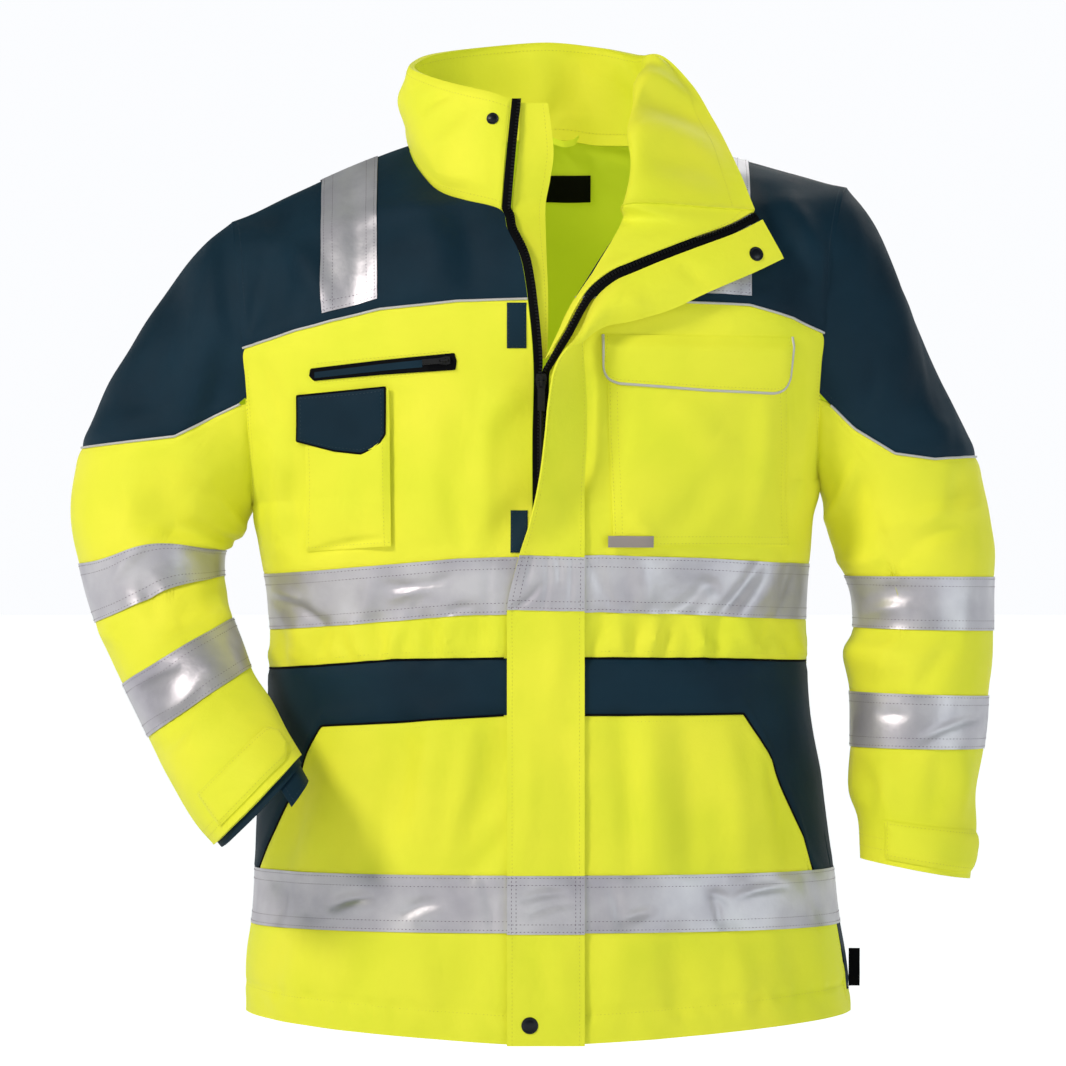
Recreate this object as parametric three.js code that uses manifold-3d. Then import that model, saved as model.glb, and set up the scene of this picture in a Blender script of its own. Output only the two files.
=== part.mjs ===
// A padded hi-vis work jacket, worn open at the neck and hollow, as a scene graph of sewn pieces.
// Millimetres, +Z up, the front faces -Y and the wearer's left is +X.
// The origin is at the neck, level with the top of the shoulder seams.
import * as THREE from "three";
import Module from "manifold-3d";

const wasm = await Module();
wasm.setup();

// Cloth and seam sizes
const cloth = 3; // padded shell with its lining
const collarCloth = 5;
const seamGap = 0.3;
const tapeCloth = 0.6;
const liftOnCloth = 0.35; // from a panel's face to the underside of what is sewn on it
const farOut = 480; // reaches past the jacket on every side

// Grid sizes, in cells
const bodyRows = 11;
const chestRows = 12;
const bodyColumns = 7;
const neckWay = 1.75; // the row of a panel's grid where its neckline starts

// Body, from hem to armpit: a row for each height, half widths to the wearer's right and left,
// and the depths of the front and the back from the side seams.
const body = table("z right left front back", [
  [-800, 265, 279, 166, 150],
  [-772, 265, 278, 166, 150],
  [-720, 264, 273, 164, 148],
  [-684, 259, 267, 162, 146],
  [-648, 257, 263, 160, 143],
  [-612, 256, 258, 158, 140],
  [-558, 253, 251, 154, 135],
  [-522, 249, 244, 150, 130],
  [-486, 245, 240, 147, 127],
  [-440, 243, 238, 143, 122],
  [-396, 246, 238, 147, 128],
  [-360, 253, 241, 150, 134],
  [-324, 258, 245, 152, 139],
  [-290, 259, 251, 152, 142],
]);
const hemCentre = -792;
const hemSide = -773;
const chestStart = -313; // centre front and back, level with the armpits

// Inner edges above the armpits: way runs from 1 at the armpit's level to 2 at the shoulder seam.
const edgeRight = table("way x y z", [
  [1.0, -8, -152, -313],
  [1.12, -8, -151, -261],
  [1.26, -7, -147, -200],
  [1.4, -11, -143, -148],
  [1.54, -18, -133, -103],
  [1.66, -30, -117, -76],
  [neckWay, -36, -104, -59],
  [1.83, -66, -94, -50],
  [1.9, -94, -71, -39],
  [1.95, -111, -40, -18],
  [2.0, -120, 5, 3],
]);
const edgeLeft = table("way x y z", [
  [1.0, 8, -152, -313],
  [1.12, 8, -151, -261],
  [1.26, 8, -147, -200],
  [1.4, 19, -145, -158],
  [1.52, 40, -138, -122],
  [1.64, 60, -123, -90],
  [neckWay, 77, -104, -67],
  [1.83, 97, -88, -49],
  [1.9, 109, -64, -34],
  [1.95, 118, -36, -16],
  [2.0, 123, 5, 3],
]);
const edgeBack = table("way x y z", [
  [1.0, 0, 140, -313],
  [1.2, 0, 147, -235],
  [1.4, 0, 149, -160],
  [1.55, 0, 139, -102],
  [1.67, 0, 110, -44],
  [neckWay, 0, 64, 12],
  [1.83, 0.44, 60, 12],
  [1.9, 0.75, 45, 10],
  [1.96, 0.93, 25, 7],
  [2.0, 1, 5, 3],
]);
const neckHalf = { right: -120, left: 123 };

// Armholes: the shoulder tip, the armpit, and the loop's half depth.
const armholes = {
  right: { tip: [-278, -65], pit: [-259, -318], depth: 84, bowFront: 5, bowBack: 16 },
  left: { tip: [275, -34], pit: [251, -297], depth: 84, bowFront: 12, bowBack: 16 },
};

// Sleeves: a row for each ring from armhole to cuff, with its outer and inner points,
// how far it lies forward or back, and its half depth.
const sleeveRight = table("ring outerX outerZ innerX innerZ y depth", [
  [0, -278, -65, -259, -318, 0, 84],
  [1, -310, -92, -260, -323, 2, 84],
  [2, -343, -137, -262, -329, 4, 84],
  [3, -371, -180, -264, -335, 5, 83],
  [4, -392, -216, -266, -341, 6, 82],
  [5, -408, -252, -268, -347, 6, 80],
  [6, -419, -290, -272, -352, 5, 78],
  [7, -424, -330, -277, -356, 3, 75],
  [8, -415, -372, -284, -360, -3, 71],
  [9, -400, -425, -285, -383, -16, 68],
  [10, -386, -454, -281, -402, -32, 67],
  [11, -373, -479, -274, -420, -52, 66],
  [12, -347, -525, -256, -463, -96, 63],
  [13, -320, -572, -236, -494, -134, 59],
  [14, -302, -598, -222, -517, -156, 55],
  [15, -285, -616, -209, -538, -172, 52],
]);
const sleeveLeft = table("ring outerX outerZ innerX innerZ y depth", [
  [0, 275, -34, 251, -297, 0, 84],
  [1, 300, -67, 252, -304, 2, 84],
  [2, 320, -113, 253, -311, 4, 84],
  [3, 339, -160, 254, -318, 5, 83],
  [4, 357, -200, 255, -325, 6, 82],
  [5, 374, -236, 256, -332, 6, 80],
  [6, 391, -274, 258, -341, 5, 78],
  [7, 401, -312, 261, -352, 3, 75],
  [8, 407, -351, 266, -366, 0, 72],
  [9, 407, -384, 271, -383, -5, 70],
  [10, 406, -432, 279, -429, -12, 68],
  [11, 404, -461, 273, -454, -17, 66],
  [12, 401, -490, 277, -486, -22, 64],
  [13, 396, -537, 276, -535, -30, 62],
  [14, 388, -576, 275, -573, -37, 60],
  [15, 388, -614, 283, -600, -44, 57],
  [16, 383, -652, 284, -634, -50, 55],
]);
const upperTapeRings = { right: [8, 9], left: [9, 10] };
const lowerTapeRings = { right: [11, 12], left: [12, 13] };

// Collar, round the neck from the zip on the wearer's right to the turned-out front on the left:
// way is the place on the neckline, then the middle and the top edge of the collar there.
const collarColumns = table("at way midX midY midZ topX topY topZ", [
  [0, neckWay, -32, -102, -10, -27, -90, 40],
  [1, 1.81, -56, -98, -5, -44, -88, 46],
  [2, 1.86, -83, -83, 2, -66, -75, 52],
  [3, 1.91, -106, -58, 14, -92, -54, 60],
  [4, 1.96, -122, -20, 32, -118, -20, 72],
  [5, 2.0, -124, 14, 45, -115, 12, 82],
  [6, 1.91, -106, 42, 52, -98, 36, 90],
  [7, 1.84, -58, 62, 56, -56, 58, 97],
  [8, neckWay, 4, 68, 58, 4, 66, 102],
  [9, 1.84, 58, 62, 56, 54, 60, 97],
  [10, 1.91, 98, 44, 52, 86, 42, 90],
  [11, 2.0, 98, 2, 70, 108, 12, 82],
  [12, 1.94, 88, -34, 50, 134, 2, 54],
  [13, 1.88, 83, -64, 23, 151, -12, 24],
  [14, 1.83, 85, -88, -2, 165, -36, -3],
  [15, 1.78, 84, -106, -30, 179, -68, -31],
  [16, neckWay, 78, -120, -57, 190, -92, -58],
]);

// Turned-out front on the wearer's left: a row from the collar down to the point of the V,
// with the roll line and the middle of the zip, and how far each lies before the front panel.
const lapelRows = table("at rollX rollZ zipX zipZ rollLift midLift zipLift", [
  [0, 76, -62, 191, -64, 13, 24, 18],
  [1, 68, -77, 168, -77, 9, 19, 16],
  [2, 62, -88, 137, -89, 7, 16, 15],
  [3, 56, -98, 104, -102, 6, 13, 14],
  [4, 50, -108, 80, -112, 5, 12, 13],
  [5, 44, -118, 62, -120, 5, 10, 12],
  [6, 35, -131, 46, -133, 5, 9, 11],
  [7, 25, -147, 35, -149, 5, 8, 10],
  [8, 15, -168, 24, -170, 5, 7, 9],
  [9, 3, -193, 12, -189, 4, 5, 6],
]);
const zipHalf = 4; // one side of the zip, with its teeth
const zipCloth = 1.4;

// Storm flap, from the collar's tip down the turned-out front, over the zip and to the hem.
const flapRows = table("at baseX baseZ edgeX edgeZ baseLift midLift edgeLift", [
  [0, 195, -69, 213, -103, 18, 15, 11],
  [1, 170, -82, 184, -117, 16, 15, 11],
  [2, 139, -94, 143, -135, 15, 15, 11],
  [3, 106, -107, 113, -149, 14, 15, 10],
  [4, 83, -117, 79, -159, 13, 16, 11],
  [5, 66, -125, 57, -163, 12, 19, 14],
  [6, 51, -138, 44, -170, 10, 22, 22],
  [7, 42, -154, 34, -179, 9, 24, 30],
  [8, 37, -174, 22, -186, 7, 26, 38],
  [9, 38, -200, 12, -203, 6, 27, 43],
  [10, 40, -232, 7, -232, 5, 25, 44],
  [11, 40, -262, 4, -262, 4, 21, 40],
  [12, 38, -300, -1, -300, 4, 13, 31],
  [13, 38, -340, -10, -338, 4, 8, 18],
  [14, 38, -366, -19, -364, 4, 6, 9],
  [15, 38, -392, -26, -390, 4, 5, 5],
  [16, 38, -413, -30, -412, 4, 4.4, 4.4],
  [17, 38, -450, -30, -450, 4, 4, 4],
  [18, 38, -500, -30, -500, 4, 4, 4],
  [19, 38, -550, -30, -550, 4, 4, 4],
  [20, 38, -600, -30, -600, 4, 4, 4],
  [21, 38, -644, -30, -644, 4, 4, 4],
  [22, 38, -695, -30, -695, 4, 4, 4],
  [23, 38, -745, -30, -745, 4, 4, 4],
  [24, 38, -792, -30, -792, 4, 4, 4],
]);
const flapCloth = 2;

// The largest folds of the body, from one end to the other as seen from the front or the back:
// face -1 is the front. A negative height is a trough.
const bodyFolds = [
  { face: -1, from: [-215, -452], to: [-206, -350], width: 26, height: 4 },
  { face: -1, from: [-120, -450], to: [-150, -385], width: 24, height: -4 },
  { face: -1, from: [110, -450], to: [165, -330], width: 26, height: -5 },
  { face: -1, from: [190, -455], to: [215, -330], width: 26, height: 5 },
  { face: -1, from: [-175, -790], to: [-160, -560], width: 30, height: 5 },
  { face: -1, from: [-95, -790], to: [-80, -600], width: 28, height: -4 },
  { face: -1, from: [95, -790], to: [80, -580], width: 30, height: 5 },
  { face: -1, from: [185, -790], to: [150, -560], width: 30, height: -4 },
  { face: 1, from: [-190, -790], to: [-150, -500], width: 32, height: 5 },
  { face: 1, from: [-70, -790], to: [-50, -480], width: 32, height: -5 },
  { face: 1, from: [60, -790], to: [40, -520], width: 32, height: 5 },
  { face: 1, from: [180, -790], to: [150, -480], width: 32, height: -5 },
  { face: 1, from: [-150, -440], to: [-180, -300], width: 30, height: -5 },
  { face: 1, from: [150, -440], to: [170, -290], width: 30, height: -5 },
  { face: 1, from: [-60, -440], to: [60, -400], width: 28, height: 4 },
];

// The largest folds of the sleeves: a ring and an angle in degrees for each end.
const sleeveFolds = {
  right: [
    { from: [6.2, 170], to: [6.6, 70], width: 0.6, height: -6 },
    { from: [7.4, 175], to: [7.6, 50], width: 0.6, height: 6 },
    { from: [4, 165], to: [3, 95], width: 0.7, height: 5 },
    { from: [9.8, 160], to: [10.3, 70], width: 0.6, height: -5 },
    { from: [6.8, 195], to: [6, 290], width: 0.7, height: -6 },
    { from: [9.6, 200], to: [10, 290], width: 0.7, height: 5 },
  ],
  left: [
    { from: [8.4, 175], to: [8.2, 70], width: 0.6, height: 6 },
    { from: [9.6, 178], to: [9.8, 80], width: 0.5, height: -8 },
    { from: [10.8, 178], to: [11, 90], width: 0.5, height: 6 },
    { from: [5, 165], to: [3, 100], width: 0.7, height: 5 },
    { from: [9.2, 185], to: [9, 280], width: 0.6, height: -6 },
    { from: [13.6, 170], to: [14, 60], width: 0.5, height: -4 },
  ],
};

// Seam lines of the front, from the wearer's right (-x) to the left, as [x, z].
const yokeSeamFront = [
  [-farOut, -190],
  [-268, -182],
  [-217, -166],
  [-142, -148],
  [-73, -141],
  [40, -138],
  [130, -142],
  [184, -144],
  [224, -155],
  [254, -169],
  [farOut, -175],
];
const yokeSeamBack = [
  [-farOut, -190],
  [-268, -182],
  [-150, -178],
  [150, -174],
  [254, -169],
  [farOut, -175],
];
const capSeamRight = [
  [-farOut, -270],
  [-411, -268],
  [-325, -259],
  [-262, -228],
  [-200, -196],
];
const capSeamLeft = [
  [200, -180],
  [245, -220],
  [278, -252],
  [314, -274],
  [350, -279],
  [393, -276],
  [farOut, -274],
];
const hipTop = [
  [-farOut, -470],
  [-244, -466],
  [-127, -456],
  [0, -454],
  [143, -455],
  [238, -459],
  [farOut, -462],
];
const pocketMouthRight = [
  [-farOut, -720],
  [-262, -668],
  [-244, -621],
  [-206, -536],
  [-194, -515],
  [-34, -504],
  [0, -504],
];
const pocketMouthLeft = [
  [0, -504],
  [179, -504],
  [202, -540],
  [233, -612],
  [240, -639],
  [263, -684],
  [274, -752],
  [farOut, -860],
];

// Bands of reflective tape, 50 mm wide: the top edge as [x, z], lower at the sides.
const tapeWidth = 50;
const waistTapeTop = [
  [-farOut, -385],
  [-244, -381],
  [-190, -377],
  [-127, -372],
  [-73, -367],
  [53, -364],
  [143, -367],
  [238, -372],
  [farOut, -374],
];
const hemTapeTop = [
  [-farOut, -644],
  [farOut, -644],
];
const shoulderTapes = {
  right: [
    [-200, 60],
    [-148, 60],
    [-144, -139],
    [-192, -152],
  ],
  left: [
    [137, 60],
    [187, 60],
    [185, -136],
    [136, -134],
  ],
};
const shoulderTapesBack = {
  right: [
    [-200, 60],
    [-148, 60],
    [-146, -170],
    [-196, -172],
  ],
  left: [
    [137, 60],
    [187, 60],
    [187, -164],
    [137, -166],
  ],
};

// Sewn-on pieces of the chest, as outlines of [x, z].
const zipWelt = [
  [-203, -200],
  [-140, -193],
  [-76, -187],
  [-74, -194],
  [-75, -202],
  [-140, -206],
  [-200, -211],
  [-204, -206],
];
const patchPocket = [
  [-208, -222],
  [-133, -217],
  [-131, -356],
  [-206, -361],
];
const patchFlap = [
  [-214, -224],
  [-136, -217],
  [-136, -258],
  [-141, -268],
  [-157, -275],
  [-181, -272],
  [-214, -263],
];
const leftPocket = [
  [57, -176],
  [218, -176],
  [217, -356],
  [63, -356],
];
const leftFlap = [
  [54, -171],
  [55, -202],
  [59, -210],
  [67, -214],
  [143, -219],
  [206, -221],
  [214, -217],
  [218, -208],
  [221, -172],
];
const badgeOutline = [
  [58, -347],
  [97, -347],
  [97, -357],
  [58, -357],
];
const padUpper = [
  [-30, -143],
  [-13, -143],
  [-13, -183],
  [-30, -183],
];
const padLower = [
  [-27, -325],
  [-12, -325],
  [-12, -362],
  [-27, -362],
];
const labelOutline = [
  [3, -16],
  [46, -16],
  [46, -39],
  [3, -39],
];

// Zip guard, inside the zip on the wearer's right: z, its two edges' x, its depth and how far
// its free edge lies back.
const guardRows = table("z zipX freeX y back", [
  [36, -19, 6, -87.3, 2],
  [14, -19, 9, -91.3, 3],
  [-9, -20, 11, -96.3, 5],
  [-32, -23, 8, -98.3, 7],
  [-54, -25, 4, -100.3, 8],
  [-76, -24, 4, -111.3, 8],
  [-108, -13, 5, -129.3, 7],
  [-135, -8, 6, -138.3, 5],
  [-171, -4, 6, -142.3, 3],
  [-192, -2, 5, -144.3, 1],
]);

// Cuff straps, as outlines of [x, z], and how far the lining cuff stands out past the sleeve
const cuffStrapRight = [
  [-294, -562],
  [-230, -518],
  [-212, -544],
  [-219, -560],
  [-278, -604],
  [-296, -584],
];
const cuffStrapLeft = [
  [303, -600],
  [394, -602],
  [394, -624],
  [383, -648],
  [303, -644],
];
const liningRing = 25;

// Small pieces of cloth
const hangerLoop = [
  [8, 55, 15],
  [12, 51, 11],
  [21, 48, 8],
  [30, 51, 10],
  [34, 54.5, 14],
];
const sideTag = { x: 276.8, width: 10, cloth: 1.4, z: -735, height: 34 };

// Hard pieces
const mainSlider = { z: -212, depth: 149.9 };
const pocketSlider = { x: -84, z: -194, lift: 1.6, slope: 0.07, scale: 0.75 };
const snaps = [
  { name: "snap_collar", at: [-43, -96.2, 21.7], out: [-0.35, -1, 0.1], size: 0.8 },
  { name: "snap_flap_tip", at: [189.2, -107.3, -99.3], out: [0.3, -1, 0.1], size: 0.92 },
  { name: "snap_hem", at: [-10, -170.2, -774], out: [0, -1, 0], size: 1.1 },
];
const snapRadius = 7;
const snapHeight = 3.4;
const slider = { width: 10, height: 13, depth: 4.5 };
const pull = { width: 6.5, length: 26, cloth: 1.6, window: 6, rim: 1.6 };
const bridge = { width: 2.4, rise: 4.6, span: 7, wire: 1.6 };

// Colours, roughness and metalness
const looks = {
  yellow: { color: 0xd9e021, roughness: 0.75, metalness: 0 },
  navy: { color: 0x12303f, roughness: 0.8, metalness: 0 },
  silver: { color: 0xb4b6b8, roughness: 0.35, metalness: 0.3 },
  black: { color: 0x0b0c0e, roughness: 0.6, metalness: 0 },
  snap: { color: 0x101418, roughness: 0.35, metalness: 0.4 },
};

// A table with named columns; the first column is its key.
function table(columns, rows) {
  return { names: columns.split(" "), rows };
}

// The table's values at a key, on a smooth curve through its rows.
function look(from, key) {
  const { names, rows } = from;
  const up = rows[rows.length - 1][0] > rows[0][0];
  let low = 0;
  while (low < rows.length - 2 && (up ? key > rows[low + 1][0] : key < rows[low + 1][0])) low++;
  const a = rows[low];
  const b = rows[low + 1];
  const before = rows[Math.max(low - 1, 0)];
  const after = rows[Math.min(low + 2, rows.length - 1)];
  const t = THREE.MathUtils.clamp((key - a[0]) / (b[0] - a[0]), 0, 1);
  const out = {};
  names.forEach((name, c) => {
    const slopeA = ((b[c] - before[c]) / (b[0] - before[0])) * (b[0] - a[0]);
    const slopeB = ((after[c] - a[c]) / (after[0] - a[0])) * (b[0] - a[0]);
    const rise = (t * t * t - 2 * t * t + t) * slopeA + (t * t * t - t * t) * slopeB;
    out[name] = (2 * t ** 3 - 3 * t ** 2 + 1) * a[c] + (3 * t ** 2 - 2 * t ** 3) * b[c] + rise;
  });
  return out;
}

const point = (x, y, z) => new THREE.Vector3(x, y, z);
const mix = (a, b, t) => a + (b - a) * t;

// A point of an armhole loop: angle 0 at the shoulder tip, 180 degrees at the armpit.
function loopPoint(side, angle, face) {
  const { tip, pit, depth, bowFront, bowBack } = armholes[side];
  const sign = side === "left" ? 1 : -1;
  const bow = face < 0 ? bowFront : bowBack;
  const t = (1 - Math.cos(angle)) / 2;
  return point(
    mix(tip[0], pit[0], t) - sign * bow * Math.sin(angle),
    face * depth * Math.sin(angle),
    mix(tip[1], pit[1], t),
  );
}

// A panel's inner edge: centre front or back, then the neckline.
function innerPoint(side, face, way) {
  if (way <= 1) {
    const z = mix(hemCentre, chestStart, way);
    const depth = look(body, z);
    if (face > 0) return point(0, depth.back, z);
    return point(side === "left" ? 8 : -8, -depth.front, z);
  }
  if (face > 0) {
    const edge = look(edgeBack, way);
    return point(way <= neckWay ? 0 : edge.x * neckHalf[side], edge.y, edge.z);
  }
  const edge = look(side === "left" ? edgeLeft : edgeRight, way);
  return point(edge.x, edge.y, edge.z);
}

// A panel's outer edge: the side seam, then the armhole.
function outerPoint(side, face, way) {
  if (way >= 1) return loopPoint(side, Math.PI * (2 - way), face);
  const sign = side === "left" ? 1 : -1;
  const z = mix(hemSide, armholes[side].pit[1], way);
  const edge = side === "left" ? armholes.left.pit[0] : -armholes.right.pit[0];
  const near = THREE.MathUtils.smoothstep(way, 0.93, 1);
  return point(sign * mix(look(body, z)[side], edge, near), 0, z);
}

// A point of a body panel: across runs from the inner edge to the outer one, way up from the hem.
function panelPoint(side, face, across, way) {
  const sign = side === "left" ? 1 : -1;
  const a = innerPoint(side, face, way);
  const d = outerPoint(side, face, way);
  const high = Math.max(way - 1, 0);
  const turn = (1 - high) * (Math.PI / 2);
  const dx = Math.abs(d.x - a.x);
  const dy = Math.abs(d.y - a.y);
  const slope = (d.z - a.z) / dx;
  const fullness = mix(0.6, 0.36, high);
  const startLength = fullness * dx;
  const endLength = fullness * mix(dx, dy, Math.sin(turn));
  const b = point(a.x + sign * startLength, a.y, a.z + slope * startLength * 0.7);
  const c = point(
    d.x - sign * Math.cos(turn) * endLength,
    d.y + face * Math.sin(turn) * endLength,
    d.z - slope * Math.cos(turn) * endLength,
  );
  return new THREE.CubicBezierCurve3(a, b, c, d).getPoint(across);
}

// A point of a sleeve: angle 0 on its outer line, 90 degrees in front.
function sleevePoint(side, ring, angle) {
  const r = look(side === "left" ? sleeveLeft : sleeveRight, ring);
  const { bowFront, bowBack } = armholes[side];
  const sign = side === "left" ? 1 : -1;
  const front = Math.sin(angle) >= 0;
  const bow = (front ? bowFront : bowBack) * Math.max(0, 1 - ring / 3);
  const t = (1 - Math.cos(angle)) / 2;
  return point(
    mix(r.outerX, r.innerX, t) - sign * bow * Math.abs(Math.sin(angle)),
    r.y - r.depth * Math.sin(angle),
    mix(r.outerZ, r.innerZ, t),
  );
}

// Where the front panel passes through x and z, seen from the front.
const searchSteps = 26;
function frontDepth(x, z) {
  const side = x >= 0 ? "left" : "right";
  const sign = x >= 0 ? 1 : -1;
  const wayAt = (across) => {
    let low = 0;
    let high = 2;
    for (let i = 0; i < searchSteps; i++) {
      const middle = (low + high) / 2;
      if (panelPoint(side, -1, across, middle).z < z) low = middle;
      else high = middle;
    }
    return (low + high) / 2;
  };
  let low = 0;
  let high = 1;
  for (let i = 0; i < searchSteps; i++) {
    const middle = (low + high) / 2;
    if (panelPoint(side, -1, middle, wayAt(middle)).x * sign < x * sign) low = middle;
    else high = middle;
  }
  const across = (low + high) / 2;
  return panelPoint(side, -1, across, wayAt(across)).y;
}

// A sheet is a grid of points with normals; a closed one wraps round.
function sheet(columns, rows, closed, at) {
  const grid = [];
  for (let j = 0; j <= rows; j++) {
    const row = [];
    for (let i = 0; i <= (closed ? columns - 1 : columns); i++) row.push(at(i / columns, j / rows));
    grid.push(row);
  }
  return { grid, closed, normals: normalsOf(grid, closed) };
}

function normalsOf(grid, closed) {
  const rows = grid.length;
  const columns = grid[0].length;
  return grid.map((row, j) =>
    row.map((p, i) => {
      const left = closed ? row[(i - 1 + columns) % columns] : row[Math.max(i - 1, 0)];
      const right = closed ? row[(i + 1) % columns] : row[Math.min(i + 1, columns - 1)];
      const across = right.clone().sub(left);
      const along = grid[Math.min(j + 1, rows - 1)][i].clone().sub(grid[Math.max(j - 1, 0)][i]);
      return across.cross(along).normalize();
    }),
  );
}

// Turns the sheet's normals so that the one in its middle faces the given way.
function facing(made, direction) {
  const rows = made.normals.length;
  const columns = made.normals[0].length;
  const middle = made.normals[rows >> 1][made.closed ? columns >> 2 : columns >> 1];
  if (middle.dot(direction) < 0) made.normals.forEach((row) => row.forEach((n) => n.negate()));
  return made;
}

// Sheets that meet share one normal at each common point, so their walls are mitred there.
function joinNormals(sheets) {
  const keyOf = (p) => [p.x, p.y, p.z].map((v) => Math.round(v * 20)).join(" ");
  const sums = new Map();
  const each = (use) =>
    sheets.forEach((s) => s.grid.forEach((row, j) => row.forEach((p, i) => use(s, keyOf(p), j, i))));
  each((s, key, j, i) => {
    if (!sums.has(key)) sums.set(key, point(0, 0, 0));
    sums.get(key).add(s.normals[j][i]);
  });
  each((s, key, j, i) => s.normals[j][i].copy(sums.get(key)).normalize());
}

// Raises a sheet along its normals by a list of folds, laid in the plane that placeOf gives.
function fold(made, folds, placeOf) {
  made.grid.forEach((row, j) =>
    row.forEach((p, i) => {
      const [a, b] = placeOf(p, j, i);
      let height = 0;
      for (const f of folds) {
        const dx = f.to[0] - f.from[0];
        const dz = f.to[1] - f.from[1];
        const along = ((a - f.from[0]) * dx + (b - f.from[1]) * dz) / (dx * dx + dz * dz);
        const t = THREE.MathUtils.clamp(along, 0, 1);
        const away = Math.hypot(a - f.from[0] - t * dx, b - f.from[1] - t * dz) / f.width;
        height += f.height * Math.exp(-away * away) * Math.sin(Math.PI * mix(0.15, 0.85, t));
      }
      p.addScaledVector(made.normals[j][i], height);
    }),
  );
}

// Moves the sheet's open edges in by half a seam gap, its inner edge only if asked.
function inset(made, innerToo) {
  const { grid, closed } = made;
  const rows = grid.length;
  const columns = grid[0].length;
  const moved = grid.map((row) => row.map((p) => p.clone()));
  const draw = (p, from, to) => p.add(to.clone().sub(from).setLength(seamGap / 2));
  for (let i = 0; i < columns; i++) {
    draw(moved[0][i], grid[0][i], grid[1][i]);
    draw(moved[rows - 1][i], grid[rows - 1][i], grid[rows - 2][i]);
  }
  for (let j = 0; j < rows && !closed; j++) {
    if (innerToo) draw(moved[j][0], grid[j][0], grid[j][1]);
    draw(moved[j][columns - 1], grid[j][columns - 1], grid[j][columns - 2]);
  }
  return { grid: moved, closed, normals: made.normals };
}

// The closed wall of a sheet between two distances from it, along its normals.
function wall(made, inner, outer) {
  const { grid, closed, normals } = made;
  const rows = grid.length;
  const columns = grid[0].length;
  const places = [];
  for (const distance of [outer, inner])
    grid.forEach((row, j) =>
      row.forEach((p, i) => places.push(p.clone().addScaledVector(normals[j][i], distance))),
    );
  const layer = rows * columns;
  const at = (j, i) => j * columns + (i % columns);
  const faces = [];
  const quad = (a, b, c, d) => {
    const first = places[a].distanceToSquared(places[c]) <= places[b].distanceToSquared(places[d]);
    faces.push(...(first ? [a, b, c, a, c, d] : [a, b, d, b, c, d]));
  };
  const last = closed ? columns : columns - 1;
  for (let j = 0; j < rows - 1; j++)
    for (let i = 0; i < last; i++) {
      quad(at(j, i), at(j, i + 1), at(j + 1, i + 1), at(j + 1, i));
      quad(at(j, i) + layer, at(j + 1, i) + layer, at(j + 1, i + 1) + layer, at(j, i + 1) + layer);
    }
  for (let i = 0; i < last; i++) {
    quad(at(0, i + 1), at(0, i), at(0, i) + layer, at(0, i + 1) + layer);
    quad(at(rows - 1, i), at(rows - 1, i + 1), at(rows - 1, i + 1) + layer, at(rows - 1, i) + layer);
  }
  if (!closed)
    for (let j = 0; j < rows - 1; j++) {
      quad(at(j, 0), at(j + 1, 0), at(j + 1, 0) + layer, at(j, 0) + layer);
      quad(
        at(j + 1, columns - 1),
        at(j, columns - 1),
        at(j, columns - 1) + layer,
        at(j + 1, columns - 1) + layer,
      );
    }
  return solidFrom(places, faces);
}

// A manifold solid from points and triangles, turned so that its faces point out.
function solidFrom(places, faces) {
  let volume = 0;
  for (let i = 0; i < faces.length; i += 3) {
    const [a, b, c] = [places[faces[i]], places[faces[i + 1]], places[faces[i + 2]]];
    volume += a.dot(b.clone().cross(c));
  }
  const turned = faces.slice();
  if (volume < 0)
    for (let i = 0; i < faces.length; i += 3) [turned[i + 1], turned[i + 2]] = [faces[i + 2], faces[i + 1]];
  return new wasm.Manifold(
    new wasm.Mesh({
      numProp: 3,
      vertProperties: new Float32Array(places.flatMap((p) => [p.x, p.y, p.z])),
      triVerts: new Uint32Array(turned),
    }),
  );
}

// A three.js geometry as a manifold solid.
function solidOf(geometry) {
  const position = (geometry.index ? geometry.toNonIndexed() : geometry).getAttribute("position");
  const places = [];
  const found = new Map();
  const faces = [];
  for (let i = 0; i < position.count; i++) {
    const p = new THREE.Vector3().fromBufferAttribute(position, i);
    const key = [p.x, p.y, p.z].map((v) => Math.round(v * 1e4)).join(" ");
    if (!found.has(key)) {
      found.set(key, places.length);
      places.push(p);
    }
    faces.push(found.get(key));
  }
  const whole = [];
  for (let i = 0; i < faces.length; i += 3)
    if (new Set(faces.slice(i, i + 3)).size === 3) whole.push(...faces.slice(i, i + 3));
  return solidFrom(places, whole);
}

// A prism along Y over an outline of [x, z], between two depths.
function prism(outline, yLow = -farOut, yHigh = farOut) {
  const shape = new THREE.Shape(outline.map(([x, z]) => new THREE.Vector2(x, z)));
  const depth = yHigh - yLow;
  const geometry = new THREE.ExtrudeGeometry(shape, { depth, bevelEnabled: false });
  geometry.rotateX(Math.PI / 2);
  geometry.translate(0, yHigh, 0);
  return solidOf(geometry);
}

const shifted = (line, dz) => line.map(([x, z]) => [x, z + dz]);

// The outline above a line, below it, or between two lines, half a seam gap clear of each.
function above(line) {
  const low = shifted(line, seamGap / 2);
  return [...low, [low[low.length - 1][0], 200], [low[0][0], 200]];
}

function between(lower, upper) {
  return [...shifted(lower, seamGap / 2), ...shifted(upper, -seamGap / 2).reverse()];
}

function below(line) {
  const high = shifted(line, -seamGap / 2);
  return [...high, [high[high.length - 1][0], -900], [high[0][0], -900]];
}

const bandUnder = (line, width) => [...shifted(line, -width), ...line.slice().reverse()];

// The largest single body of a solid.
function largest(solid) {
  const bodies = solid.decompose();
  return bodies.reduce((a, b) => (b.volume() > a.volume() ? b : a));
}

const cut = (solid, outline, yLow, yHigh) => largest(solid.intersect(prism(outline, yLow, yHigh)));

const garment = new THREE.Group();

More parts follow.
